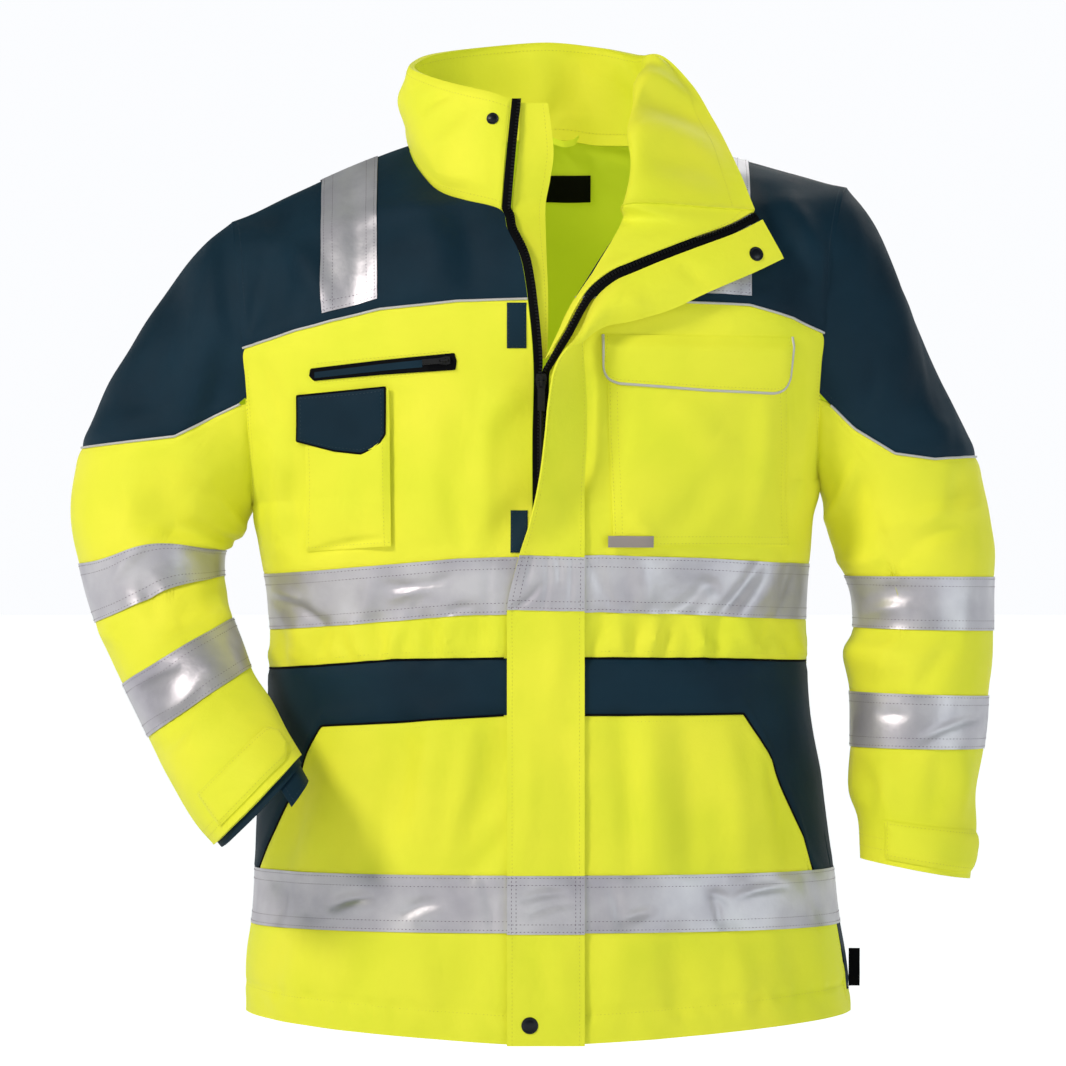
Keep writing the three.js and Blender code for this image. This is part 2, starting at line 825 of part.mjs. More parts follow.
function add(name, solid, lookName) {
  const made = solid.getMesh();
  const stride = made.numProp;
  const places = new Float32Array(made.numVert * 3);
  for (let i = 0; i < made.numVert; i++)
    places.set(made.vertProperties.subarray(i * stride, i * stride + 3), i * 3);
  const geometry = new THREE.BufferGeometry();
  geometry.setAttribute("position", new THREE.BufferAttribute(places, 3));
  geometry.setIndex(new THREE.BufferAttribute(made.triVerts, 1));
  geometry.computeVertexNormals();
  const mesh = new THREE.Mesh(geometry, new THREE.MeshStandardMaterial(looks[lookName]));
  mesh.name = name;
  garment.add(mesh);
}

// Body and sleeve sheets, made together so that their seams are mitred.
const wayOfRow = (t) => {
  const row = t * (bodyRows + chestRows);
  return row <= bodyRows ? row / bodyRows : 1 + (row - bodyRows) / chestRows;
};
const panelSheet = (side, face) =>
  facing(
    sheet(bodyColumns, bodyRows + chestRows, false, (i, j) => panelPoint(side, face, i, wayOfRow(j))),
    point(0, face, 0),
  );
const sleeveRings = { right: 15, left: 16 };
const sleeveSheet = (side) =>
  facing(
    sheet(2 * chestRows, sleeveRings[side], true, (i, j) =>
      sleevePoint(side, j * sleeveRings[side], i * 2 * Math.PI),
    ),
    point(0, -1, 0),
  );
const skin = {
  frontRight: panelSheet("right", -1),
  frontLeft: panelSheet("left", -1),
  backRight: panelSheet("right", 1),
  backLeft: panelSheet("left", 1),
  sleeveRight: sleeveSheet("right"),
  sleeveLeft: sleeveSheet("left"),
};
joinNormals(Object.values(skin));
fold(skin.frontRight, bodyFolds.filter((f) => f.face < 0), (p) => [p.x, p.z]);
fold(skin.frontLeft, bodyFolds.filter((f) => f.face < 0), (p) => [p.x, p.z]);
fold(skin.backRight, bodyFolds.filter((f) => f.face > 0), (p) => [p.x, p.z]);
fold(skin.backLeft, bodyFolds.filter((f) => f.face > 0), (p) => [p.x, p.z]);
const degreesPerRing = 30; // how much of a turn counts as far as one ring, in a fold's width
for (const [name, side] of [
  ["sleeveRight", "right"],
  ["sleeveLeft", "left"],
])
  fold(
    skin[name],
    sleeveFolds[side].map((f) => ({
      ...f,
      from: [f.from[0], f.from[1] / degreesPerRing],
      to: [f.to[0], f.to[1] / degreesPerRing],
    })),
    (p, j, i) => [j, (i * 180) / chestRows / degreesPerRing],
  );
joinNormals(Object.values(skin));

const panels = {};
for (const name of Object.keys(skin)) panels[name] = inset(skin[name], !name.startsWith("back"));

// The halves of the back reach past the centre by this much, so that they join into one.
const centreLap = 0.05;
for (const row of panels.backRight.grid) row[0].x += centreLap;
for (const row of panels.backLeft.grid) row[0].x -= centreLap;

// A panel's closed wall between two distances from its face.
function wallOf(name, inner, outer) {
  if (name !== "back") return wall(panels[name], inner, outer);
  return wall(panels.backRight, inner, outer).add(wall(panels.backLeft, inner, outer));
}

// A layer on a panel, cut to an outline: from is its distance from the panel's face.
const laid = (name, from, thick, outline, yLow, yHigh) =>
  cut(wallOf(name, from, from + thick), outline, yLow, yHigh);

function addBody() {
  const right = wallOf("frontRight", -cloth, 0);
  const left = wallOf("frontLeft", -cloth, 0);
  const back = wallOf("back", -cloth, 0);
  add("yoke_front_right", cut(right, above(yokeSeamFront)), "navy");
  add("yoke_front_left", cut(left, above(yokeSeamFront)), "navy");
  add("yoke_back", cut(back, above(yokeSeamBack)), "navy");
  add("chest_front_right", cut(right, between(hipTop, yokeSeamFront)), "yellow");
  add("chest_front_left", cut(left, between(hipTop, yokeSeamFront)), "yellow");
  add("back", cut(back, below(yokeSeamBack)), "yellow");
  const hipRight = [...shifted(pocketMouthRight, seamGap / 2), ...cutLine(hipTop, -farOut, 0).reverse()];
  const hipLeft = [...shifted(pocketMouthLeft, seamGap / 2), ...cutLine(hipTop, 0, farOut).reverse()];
  add("hip_right", cut(right, hipRight), "navy");
  add("hip_left", cut(left, hipLeft), "navy");
  add("skirt_right", cut(right, below(pocketMouthRight)), "yellow");
  add("skirt_left", cut(left, below(pocketMouthLeft)), "yellow");
}

// The part of a line between two x, half a seam gap lower.
const cutLine = (line, xLow, xHigh) => shifted(line.filter(([x]) => x >= xLow && x <= xHigh), -seamGap / 2);

function addSleeves() {
  for (const side of ["right", "left"]) {
    const key = side === "right" ? "sleeveRight" : "sleeveLeft";
    const tube = wallOf(key, -cloth, 0);
    const seam = side === "right" ? capSeamRight : capSeamLeft;
    add("sleeve_cap_" + side, cut(tube, above(seam)), "navy");
    add("sleeve_" + side, cut(tube, below(seam)), "yellow");
    addSleeveTape("sleeve_tape_upper_" + side, key, upperTapeRings[side]);
    addSleeveTape("sleeve_tape_lower_" + side, key, lowerTapeRings[side]);
  }
}

// A band of tape round a sleeve, on the panel's own rings.
function addSleeveTape(name, key, [from, to]) {
  const whole = panels[key];
  const rows = (list) => list.slice(from, to + 1);
  const part = { grid: rows(whole.grid), normals: rows(whole.normals), closed: true };
  add(name, wall(part, liftOnCloth, liftOnCloth + tapeCloth), "silver");
}

function addTapes() {
  for (const [name, top] of [
    ["waist_tape", waistTapeTop],
    ["hem_tape", hemTapeTop],
  ]) {
    const band = bandUnder(top, tapeWidth);
    add(name + "_right", laid("frontRight", liftOnCloth, tapeCloth, band), "silver");
    add(name + "_left", laid("frontLeft", liftOnCloth, tapeCloth, band), "silver");
    add(name + "_back", laid("back", liftOnCloth, tapeCloth, band), "silver");
  }
  for (const side of ["right", "left"]) {
    const front = side === "right" ? "frontRight" : "frontLeft";
    add("shoulder_tape_front_" + side, laid(front, liftOnCloth, tapeCloth, shoulderTapes[side]), "silver");
    add("shoulder_tape_back_" + side, laid("back", liftOnCloth, tapeCloth, shoulderTapesBack[side]), "silver");
  }
}

function addChestPieces() {
  const pocketCloth = 1.6;
  const flapFrom = liftOnCloth + pocketCloth + 0.35;
  add("patch_pocket", laid("frontRight", liftOnCloth, pocketCloth, patchPocket), "yellow");
  add("patch_pocket_flap", laid("frontRight", flapFrom, pocketCloth, patchFlap), "navy");
  add("zip_pocket_welt", laid("frontRight", liftOnCloth, 1.2, zipWelt), "black");
  add("hook_pad_upper", laid("frontRight", liftOnCloth, 1, padUpper), "navy");
  add("hook_pad_lower", laid("frontRight", liftOnCloth, 1, padLower), "navy");
  add("chest_pocket_left", laid("frontLeft", liftOnCloth, pocketCloth, leftPocket), "yellow");
  add("chest_flap_left", laid("frontLeft", flapFrom, pocketCloth, leftFlap), "yellow");
  add("badge", laid("frontLeft", flapFrom, 0.8, badgeOutline), "silver");
  add("size_label", laid("back", -cloth - 1.2, 0.8, labelOutline, 20), "black");
}

// Collar: from the neckline up to its top edge, or on the left over the roll line and down.
function collarPoint(column, up) {
  const c = look(collarColumns, column);
  const face = column > 5 && column < 11 ? 1 : -1;
  const side = column < 8 ? "right" : "left";
  const row = (THREE.MathUtils.clamp(c.way, neckWay, 2) - 1) * chestRows;
  const low = Math.min(Math.floor(row + 1e-6), chestRows - 1);
  const seam = innerPoint(side, face, 1 + low / chestRows).lerp(
    innerPoint(side, face, 1 + (low + 1) / chestRows),
    row - low,
  );
  const middle = point(c.midX, c.midY, c.midZ);
  const base = seam.clone().add(middle.clone().sub(seam).setLength(1.2));
  const top = point(c.topX, c.topY, c.topZ);
  return new THREE.CatmullRomCurve3([base, middle, top], false, "centripetal").getPoint(up);
}

function addCollar() {
  const made = facing(
    sheet(32, 5, false, (i, j) => collarPoint(i * 16, j)),
    point(0, 1, 0),
  );
  add("collar", wall(made, -collarCloth, 0), "yellow");
}

const lapelSteps = 9;
const lifted = (x, z, lift) => point(x, frontDepth(x, z) - lift, z);

// Places across a row that bulges forward between its two ends.
function bowed(a, b, midLift, across) {
  const middle = a.clone().lerp(b, 0.5);
  middle.y = frontDepth(middle.x, middle.z) - midLift;
  return new THREE.QuadraticBezierCurve3(
    a,
    middle.multiplyScalar(2).addScaledVector(a, -0.5).addScaledVector(b, -0.5),
    b,
  ).getPoint(across);
}

// The turned-out zip's middle line moved sideways by a distance, towards the flap if positive.
function zipLine(row, aside) {
  const here = look(lapelRows, row);
  const low = look(lapelRows, Math.max(row - 0.5, 0));
  const high = look(lapelRows, Math.min(row + 0.5, lapelSteps));
  const along = new THREE.Vector2(high.zipX - low.zipX, high.zipZ - low.zipZ).normalize();
  const x = here.zipX - along.y * aside;
  const z = here.zipZ + along.x * aside;
  return lifted(x, z, here.zipLift);
}

function addLapel() {
  const made = facing(
    sheet(5, 2 * lapelSteps, false, (i, j) => {
      const row = look(lapelRows, j * lapelSteps);
      const roll = lifted(row.rollX, row.rollZ, row.rollLift);
      return bowed(roll, zipLine(j * lapelSteps, -zipHalf - 0.9), row.midLift, i);
    }),
    point(0, -1, 0),
  );
  add("facing_left", wall(made, -flapCloth, 0), "yellow");
}

// The storm flap's sheet between two of its rows.
function flapSheet(from, to, steps, inFrom = 0, inTo = 1) {
  return facing(
    sheet(4, steps, false, (i, j) => {
      const row = look(flapRows, mix(from, to, j));
      const base = lifted(row.baseX, row.baseZ, row.baseLift);
      const edge = lifted(row.edgeX, row.edgeZ, row.edgeLift);
      return bowed(base, edge, row.midLift, mix(inFrom, inTo, i));
    }),
    point(0, -1, 0),
  );
}

function addStormFlap() {
  add("storm_flap", wall(flapSheet(0, 24, 24), -flapCloth, 0), "yellow");
  add("flap_tape_waist", wall(flapSheet(14, 16, 2), liftOnCloth, liftOnCloth + tapeCloth), "silver");
  add("flap_tape_hem", wall(flapSheet(21, 22, 1), liftOnCloth, liftOnCloth + tapeCloth), "silver");
}

// A ribbon between two edges, each a list of points.
function ribbon(first, second) {
  const grid = first.map((p, j) => [p, p.clone().lerp(second[j], 0.5), second[j]]);
  return facing({ grid, closed: false, normals: normalsOf(grid, false) }, point(0, -1, 0));
}

// The zip on the wearer's right, from hem to collar top, beside the front's edge.
const zipGap = 0.4;
const zipWidth = 7.3;
const openingLift = 2.6; // how far the zip stands before the front's edge where it starts to open
const collarAside = 0.8; // the padded collar's edge is thicker than the front's
const aside = (p, dx, dy = 0) => point(p.x + dx, p.y + dy, p.z);

function addZips() {
  const rightRows = [];
  const allRows = bodyRows + chestRows;
  const wayAt = (row) => wayOfRow(row / allRows);
  for (let row = 0; wayAt(row) < neckWay; row++) rightRows.push(innerPoint("right", -1, wayAt(row)));
  for (let up = 0; up <= 1; up += 0.2) rightRows.push(aside(collarPoint(0, up), collarAside));
  const right = ribbon(
    rightRows.map((p) => aside(p, zipGap)),
    rightRows.map((p) => aside(p, zipWidth + (p.z > -200 ? 1.2 : 0))),
  );
  add("zip_tape_right", wall(right, -0.4 - zipCloth, -0.4), "black");

  const closedRows = [];
  for (let row = 0; wayAt(row) <= 1.25; row++) closedRows.push(innerPoint("left", -1, wayAt(row)));
  closedRows[closedRows.length - 1].y -= openingLift;
  const inner = closedRows.map((p) => aside(p, -zipWidth));
  const outer = closedRows.map((p) => aside(p, -zipGap));
  for (let row = lapelSteps - 0.5; row >= 0; row -= 0.5) {
    inner.push(zipLine(row, -zipHalf + 0.7));
    outer.push(zipLine(row, zipHalf - 0.5));
  }
  add("zip_tape_left", wall(ribbon(inner, outer), -0.4 - zipCloth, -0.4), "black");

  const guard = ribbon(
    guardRows.rows.map((r) => point(r[1], r[3], r[0])),
    guardRows.rows.map((r) => point(r[2], r[3] + r[4], r[0])),
  );
  add("zip_guard", wall(guard, -2, 0), "yellow");
}

// A slider with its bridge, and the pull tab whose bar turns under the bridge.
// Here x is across the zip, y up it and z away from the cloth; the tab hangs towards -y.
const box = (width, height, depth, x, y, z) => {
  const geometry = new THREE.BoxGeometry(width, height, depth);
  geometry.translate(x, y, z);
  return solidOf(geometry);
};

function sliderSolid(scale) {
  const { width, height, depth } = slider;
  const outline = new THREE.Shape([
    new THREE.Vector2(-width * 0.36, -height / 2),
    new THREE.Vector2(width * 0.36, -height / 2),
    new THREE.Vector2(width / 2, height * 0.15),
    new THREE.Vector2(width * 0.42, height / 2),
    new THREE.Vector2(-width * 0.42, height / 2),
    new THREE.Vector2(-width / 2, height * 0.15),
  ]);
  const plate = new THREE.ExtrudeGeometry(outline, { depth, bevelEnabled: false });
  const { width: wide, rise, span, wire } = bridge;
  return solidOf(plate)
    .add(box(wide, wire, rise + 1, 0, span / 2, depth + rise / 2 - 0.5))
    .add(box(wide, wire, rise + 1, 0, -span / 2, depth + rise / 2 - 0.5))
    .add(box(wide, span + wire, wire, 0, 0, depth + rise + wire / 2 - 0.05))
    .scale([scale, scale, scale]);
}

const pullAxisHeight = slider.depth + bridge.rise / 2;

function pullSolid(scale) {
  const { width, length, cloth: thick, window, rim } = pull;
  const bar = new THREE.CylinderGeometry(thick / 2, thick / 2, width, 10);
  bar.rotateZ(Math.PI / 2);
  return solidOf(bar)
    .add(box(rim, window + 1, thick, (width - rim) / 2, -window / 2 - 0.5, 0))
    .add(box(rim, window + 1, thick, -(width - rim) / 2, -window / 2 - 0.5, 0))
    .add(box(width, length - window, thick, 0, -window - (length - window) / 2, 0))
    .translate([0, 0, pullAxisHeight])
    .scale([scale, scale, scale]);
}

// Puts a solid made in the zip's own axes on the cloth.
function placed(solid, origin, up, outward) {
  const z = outward.clone().normalize();
  const x = up.clone().cross(z).normalize();
  const y = z.clone().cross(x);
  return solid.transform(new THREE.Matrix4().makeBasis(x, y, z).setPosition(origin).toArray());
}

const frontNormal = (x, z) => {
  const step = 6;
  const here = (dx, dz) => point(x + dx, frontDepth(x + dx, z + dz), z + dz);
  const right = here(step, 0).sub(here(-step, 0));
  const up = here(0, step).sub(here(0, -step));
  return right.cross(up).normalize();
};

function addHardPieces() {
  const main = point(0, -mainSlider.depth, mainSlider.z);
  add("zip_slider", placed(sliderSolid(1), main, point(0, 0, 1), point(0, -1, 0)), "black");
  add("zip_pull", placed(pullSolid(1), main, point(0, 0, 1), point(0, -1, 0)), "black");
  const out = frontNormal(pocketSlider.x, pocketSlider.z);
  const seat = lifted(pocketSlider.x, pocketSlider.z, 0).addScaledVector(out, pocketSlider.lift);
  const up = point(1, 0, Math.tan(pocketSlider.slope));
  add("pocket_zip_slider", placed(sliderSolid(pocketSlider.scale), seat, up, out), "black");
  add("pocket_zip_pull", placed(pullSolid(pocketSlider.scale), seat, up, out), "black");
  addSnaps();
}

function addSnaps() {
  const profile = [
    [0, 0],
    [snapRadius, 0],
    [snapRadius, 1.2],
    [snapRadius * 0.72, snapHeight - 0.5],
    [0, snapHeight],
  ].map(([r, h]) => new THREE.Vector2(r, h));
  const dome = new THREE.LatheGeometry(profile, 12);
  dome.rotateX(Math.PI / 2);
  const shape = solidOf(dome);
  for (const snap of snaps) {
    const out = point(...snap.out).normalize();
    const solid = shape.scale([snap.size, snap.size, 1]);
    add(snap.name, placed(solid, point(...snap.at), point(0, 0, 1), out), "snap");
  }
}

// Cuffs: the strap on each, and inside the right one a navy lining cuff with its tab.
function addCuffs() {
  const strap = 1.6;
  add("cuff_strap_right", laid("sleeveRight", liftOnCloth, strap, cuffStrapRight, -farOut, -150), "yellow");
  add("cuff_strap_left", laid("sleeveLeft", liftOnCloth, strap, cuffStrapLeft, -farOut, -48), "yellow");
  const last = sleeveRings.right;
  const beyond = (ring, angle) => {
    if (ring <= last) return sleevePoint("right", ring, angle);
    const end = sleevePoint("right", last, angle);
    const before = sleevePoint("right", last - 1, angle);
    return end.clone().add(end.clone().sub(before).setLength((ring - last) * liningRing));
  };
  const tube = facing(
    sheet(2 * chestRows, 2, true, (i, j) => beyond(mix(14.3, last + 0.28, j), i * 2 * Math.PI)),
    point(0, -1, 0),
  );
  add("cuff_lining_right", wall(tube, -cloth - 2.2, -cloth - 0.9), "navy");
  const tab = sheet(5, 3, false, (i, j) =>
    beyond(mix(14.5, last + 1.05, j), THREE.MathUtils.degToRad(mix(120, 195, i))),
  );
  add("cuff_tab_right", wall(facing(tab, point(1, 0, 0)), -cloth - 4.2, -cloth - 2.9), "navy");
}

function addSmallPieces() {
  const route = new THREE.CatmullRomCurve3(hangerLoop.map((p) => point(...p)));
  const section = new THREE.Shape([
    new THREE.Vector2(-0.8, -3),
    new THREE.Vector2(0.8, -3),
    new THREE.Vector2(0.8, 3),
    new THREE.Vector2(-0.8, 3),
  ]);
  const strip = new THREE.ExtrudeGeometry(section, { steps: 8, extrudePath: route, bevelEnabled: false });
  add("hanger_loop", solidOf(strip), "yellow");
  const tag = new THREE.BoxGeometry(sideTag.width, sideTag.cloth, sideTag.height);
  tag.translate(sideTag.x + sideTag.width / 2, 0, sideTag.z);
  add("side_tag", solidOf(tag), "black");
}

garment.name = "jacket";
addBody();
addSleeves();
addTapes();
addChestPieces();
addCollar();
addLapel();
addStormFlap();
addZips();
addHardPieces();
addCuffs();
addSmallPieces();

export default garment;
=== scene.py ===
import math

import bpy
import numpy as np
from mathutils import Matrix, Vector


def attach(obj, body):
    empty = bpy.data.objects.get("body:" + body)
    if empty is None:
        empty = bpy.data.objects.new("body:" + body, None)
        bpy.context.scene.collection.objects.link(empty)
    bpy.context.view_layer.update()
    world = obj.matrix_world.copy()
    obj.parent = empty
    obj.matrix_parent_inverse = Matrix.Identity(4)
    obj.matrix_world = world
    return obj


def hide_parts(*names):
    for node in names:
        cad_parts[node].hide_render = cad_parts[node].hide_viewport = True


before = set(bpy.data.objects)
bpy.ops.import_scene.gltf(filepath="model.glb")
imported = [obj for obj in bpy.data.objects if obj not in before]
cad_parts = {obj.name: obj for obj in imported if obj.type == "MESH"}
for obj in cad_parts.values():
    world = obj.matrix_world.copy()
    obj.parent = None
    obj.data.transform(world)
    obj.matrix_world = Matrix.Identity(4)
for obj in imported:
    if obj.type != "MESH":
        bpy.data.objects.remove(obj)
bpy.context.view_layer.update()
DETAIL = 1.0
MM = 0.001
BODY_NAME = "jacket"
SIDES = ("right", "left")
FRONT, BACK = -1, 1
SIGNS = {"right": -1, "left": 1}

# Sizes shared with the solids
CLOTH = 3.0
COLLAR_CLOTH = 5.0
TAPE_CLOTH = 0.6
WALL = CLOTH - 0.1
LIFT = 0.35
FAR = 480.0
NECK_WAY = 1.75
HEM_CENTRE, HEM_SIDE, CHEST_START = -792.0, -773.0, -313.0
FLAP_CLOTH = 2.0
ZIP_HALF = 4.0
ZIP_CLOTH = 1.4

# z, half width right, half width left, depth front, depth back
BODY = [
    [-800, 265, 279, 166, 150],
    [-772, 265, 278, 166, 150],
    [-720, 264, 273, 164, 148],
    [-684, 259, 267, 162, 146],
    [-648, 257, 263, 160, 143],
    [-612, 256, 258, 158, 140],
    [-558, 253, 251, 154, 135],
    [-522, 249, 244, 150, 130],
    [-486, 245, 240, 147, 127],
    [-440, 243, 238, 143, 122],
    [-396, 246, 238, 147, 128],
    [-360, 253, 241, 150, 134],
    [-324, 258, 245, 152, 139],
    [-290, 259, 251, 152, 142],
]
# way, x, y, z of the inner edges above the armpits
EDGE_RIGHT = [
    [1.0, -8, -152, -313],
    [1.12, -8, -151, -261],
    [1.26, -7, -147, -200],
    [1.4, -11, -143, -148],
    [1.54, -18, -133, -103],
    [1.66, -30, -117, -76],
    [NECK_WAY, -36, -104, -59],
    [1.83, -66, -94, -50],
    [1.9, -94, -71, -39],
    [1.95, -111, -40, -18],
    [2.0, -120, 5, 3],
]
EDGE_LEFT = [
    [1.0, 8, -152, -313],
    [1.12, 8, -151, -261],
    [1.26, 8, -147, -200],
    [1.4, 19, -145, -158],
    [1.52, 40, -138, -122],
    [1.64, 60, -123, -90],
    [NECK_WAY, 77, -104, -67],
    [1.83, 97, -88, -49],
    [1.9, 109, -64, -34],
    [1.95, 118, -36, -16],
    [2.0, 123, 5, 3],
]
EDGE_BACK = [
    [1.0, 0, 140, -313],
    [1.2, 0, 147, -235],
    [1.4, 0, 149, -160],
    [1.55, 0, 139, -102],
    [1.67, 0, 110, -44],
    [NECK_WAY, 0, 64, 12],
    [1.83, 0.44, 60, 12],
    [1.9, 0.75, 45, 10],
    [1.96, 0.93, 25, 7],
    [2.0, 1, 5, 3],
]
NECK_HALF = {"right": -120, "left": 123}
ARMHOLES = {
    "right": {"tip": (-278, -65), "pit": (-259, -318), "depth": 84, "bow": {FRONT: 5, BACK: 16}},
    "left": {"tip": (275, -34), "pit": (251, -297), "depth": 84, "bow": {FRONT: 12, BACK: 16}},
}
# ring, outer x, outer z, inner x, inner z, y, half depth
SLEEVES = {
    "right": [
        [0, -278, -65, -259, -318, 0, 84],
        [1, -310, -92, -260, -323, 2, 84],
        [2, -343, -137, -262, -329, 4, 84],
        [3, -371, -180, -264, -335, 5, 83],
        [4, -392, -216, -266, -341, 6, 82],
        [5, -408, -252, -268, -347, 6, 80],
        [6, -419, -290, -272, -352, 5, 78],
        [7, -424, -330, -277, -356, 3, 75],
        [8, -415, -372, -284, -360, -3, 71],
        [9, -400, -425, -285, -383, -16, 68],
        [10, -386, -454, -281, -402, -32, 67],
        [11, -373, -479, -274, -420, -52, 66],
        [12, -347, -525, -256, -463, -96, 63],
        [13, -320, -572, -236, -494, -134, 59],
        [14, -302, -598, -222, -517, -156, 55],
        [15, -285, -616, -209, -538, -172, 52],
    ],
    "left": [
        [0, 275, -34, 251, -297, 0, 84],
        [1, 300, -67, 252, -304, 2, 84],
        [2, 320, -113, 253, -311, 4, 84],
        [3, 339, -160, 254, -318, 5, 83],
        [4, 357, -200, 255, -325, 6, 82],
        [5, 374, -236, 256, -332, 6, 80],
        [6, 391, -274, 258, -341, 5, 78],
        [7, 401, -312, 261, -352, 3, 75],
        [8, 407, -351, 266, -366, 0, 72],
        [9, 407, -384, 271, -383, -5, 70],
        [10, 406, -432, 279, -429, -12, 68],
        [11, 404, -461, 273, -454, -17, 66],
        [12, 401, -490, 277, -486, -22, 64],
        [13, 396, -537, 276, -535, -30, 62],
        [14, 388, -576, 275, -573, -37, 60],
        [15, 388, -614, 283, -600, -44, 57],
        [16, 383, -652, 284, -634, -50, 55],
    ],
}
LAST_RING = {"right": 15, "left": 16}
UPPER_TAPE = {"right": (8, 9), "left": (9, 10)}
LOWER_TAPE = {"right": (11, 12), "left": (12, 13)}
# at, way, middle x, y, z, top x, y, z
COLLAR = [
    [0, NECK_WAY, -32, -102, -10, -27, -90, 40],
    [1, 1.81, -56, -98, -5, -44, -88, 46],
    [2, 1.86, -83, -83, 2, -66, -75, 52],
    [3, 1.91, -106, -58, 14, -92, -54, 60],
    [4, 1.96, -122, -20, 32, -118, -20, 72],
    [5, 2.0, -124, 14, 45, -115, 12, 82],
    [6, 1.91, -106, 42, 52, -98, 36, 90],
    [7, 1.84, -58, 62, 56, -56, 58, 97],
    [8, NECK_WAY, 4, 68, 58, 4, 66, 102],
    [9, 1.84, 58, 62, 56, 54, 60, 97],
    [10, 1.91, 98, 44, 52, 86, 42, 90],
    [11, 2.0, 98, 2, 70, 108, 12, 82],
    [12, 1.94, 88, -34, 50, 134, 2, 54],
    [13, 1.88, 83, -64, 23, 151, -12, 24],
    [14, 1.83, 85, -88, -2, 165, -36, -3],
    [15, 1.78, 84, -106, -30, 179, -68, -31],
    [16, NECK_WAY, 78, -120, -57, 190, -92, -58],
]
# at, roll x, roll z, zip x, zip z, roll lift, middle lift, zip lift
LAPEL = [
    [0, 76, -62, 191, -64, 13, 24, 18],
    [1, 68, -77, 168, -77, 9, 19, 16],
    [2, 62, -88, 137, -89, 7, 16, 15],
    [3, 56, -98, 104, -102, 6, 13, 14],
    [4, 50, -108, 80, -112, 5, 12, 13],
    [5, 44, -118, 62, -120, 5, 10, 12],
    [6, 35, -131, 46, -133, 5, 9, 11],
    [7, 25, -147, 35, -149, 5, 8, 10],
    [8, 15, -168, 24, -170, 5, 7, 9],
    [9, 3, -193, 12, -189, 4, 5, 6],
]
LAPEL_STEPS = 9
# at, base x, base z, edge x, edge z, base lift, middle lift, edge lift
FLAP = [
    [0, 195, -69, 213, -103, 18, 15, 11],
    [1, 170, -82, 184, -117, 16, 15, 11],
    [2, 139, -94, 143, -135, 15, 15, 11],
    [3, 106, -107, 113, -149, 14, 15, 10],
    [4, 83, -117, 79, -159, 13, 16, 11],
    [5, 66, -125, 57, -163, 12, 19, 14],
    [6, 51, -138, 44, -170, 10, 22, 22],
    [7, 42, -154, 34, -179, 9, 24, 30],
    [8, 37, -174, 22, -186, 7, 26, 38],
    [9, 38, -200, 12, -203, 6, 27, 43],
    [10, 40, -232, 7, -232, 5, 25, 44],
    [11, 40, -262, 4, -262, 4, 21, 40],
    [12, 38, -300, -1, -300, 4, 13, 31],
    [13, 38, -340, -10, -338, 4, 8, 18],
    [14, 38, -366, -19, -364, 4, 6, 9],
    [15, 38, -392, -26, -390, 4, 5, 5],
    [16, 38, -413, -30, -412, 4, 4.4, 4.4],
    [17, 38, -450, -30, -450, 4, 4, 4],
    [18, 38, -500, -30, -500, 4, 4, 4],
    [19, 38, -550, -30, -550, 4, 4, 4],
    [20, 38, -600, -30, -600, 4, 4, 4],
    [21, 38, -644, -30, -644, 4, 4, 4],
    [22, 38, -695, -30, -695, 4, 4, 4],
    [23, 38, -745, -30, -745, 4, 4, 4],
    [24, 38, -792, -30, -792, 4, 4, 4],
]
# Seam lines as x, z
YOKE_FRONT = [[-FAR, -190], [-268, -182], [-217, -166], [-142, -148], [-73, -141], [40, -138], [130, -142],
              [184, -144], [224, -155], [254, -169], [FAR, -175]]
YOKE_BACK = [[-FAR, -190], [-268, -182], [-150, -178], [150, -174], [254, -169], [FAR, -175]]
CAP_SEAMS = {
    "right": [[-FAR, -270], [-411, -268], [-325, -259], [-262, -228], [-200, -196]],
    "left": [[200, -180], [245, -220], [278, -252], [314, -274], [350, -279], [393, -276], [FAR, -274]],
}
HIP_TOP = [[-FAR, -470], [-244, -466], [-127, -456], [0, -454], [143, -455], [238, -459], [FAR, -462]]
POCKET_MOUTHS = {
    "right": [[-FAR, -720], [-262, -668], [-244, -621], [-206, -536], [-194, -515], [-34, -504], [0, -504]],
    "left": [[0, -504], [179, -504], [202, -540], [233, -612], [240, -639], [263, -684], [274, -752],
             [FAR, -860]],
}
TAPE_WIDTH = 50.0
WAIST_TOP = [[-FAR, -385], [-244, -381], [-190, -377], [-127, -372], [-73, -367], [53, -364], [143, -367],
             [238, -372], [FAR, -374]]
HEM_TOP = [[-FAR, -644], [FAR, -644]]
# Shoulder tapes: the outer and inner edge lines as x at z 60 and x at the foot, then the foot's z at each
SHOULDER_TAPES = {
    ("right", FRONT): [(-200, -192, -152), (-148, -144, -139)],
    ("left", FRONT): [(187, 185, -136), (137, 136, -134)],
    ("right", BACK): [(-200, -196, -172), (-148, -146, -170)],
    ("left", BACK): [(187, 187, -164), (137, 137, -166)],
}
# z, zip side x, free edge x, y, how far the free edge lies back
GUARD = [
    [-192, -2, 5, -144.3, 1],
    [-171, -4, 6, -142.3, 3],
    [-135, -8, 6, -138.3, 5],
    [-108, -13, 5, -129.3, 7],
    [-76, -24, 4, -111.3, 8],
    [-54, -25, 4, -100.3, 8],
    [-32, -23, 8, -98.3, 7],
    [-9, -20, 11, -96.3, 5],
    [14, -19, 9, -91.3, 3],
    [36, -19, 6, -87.3, 2],
]

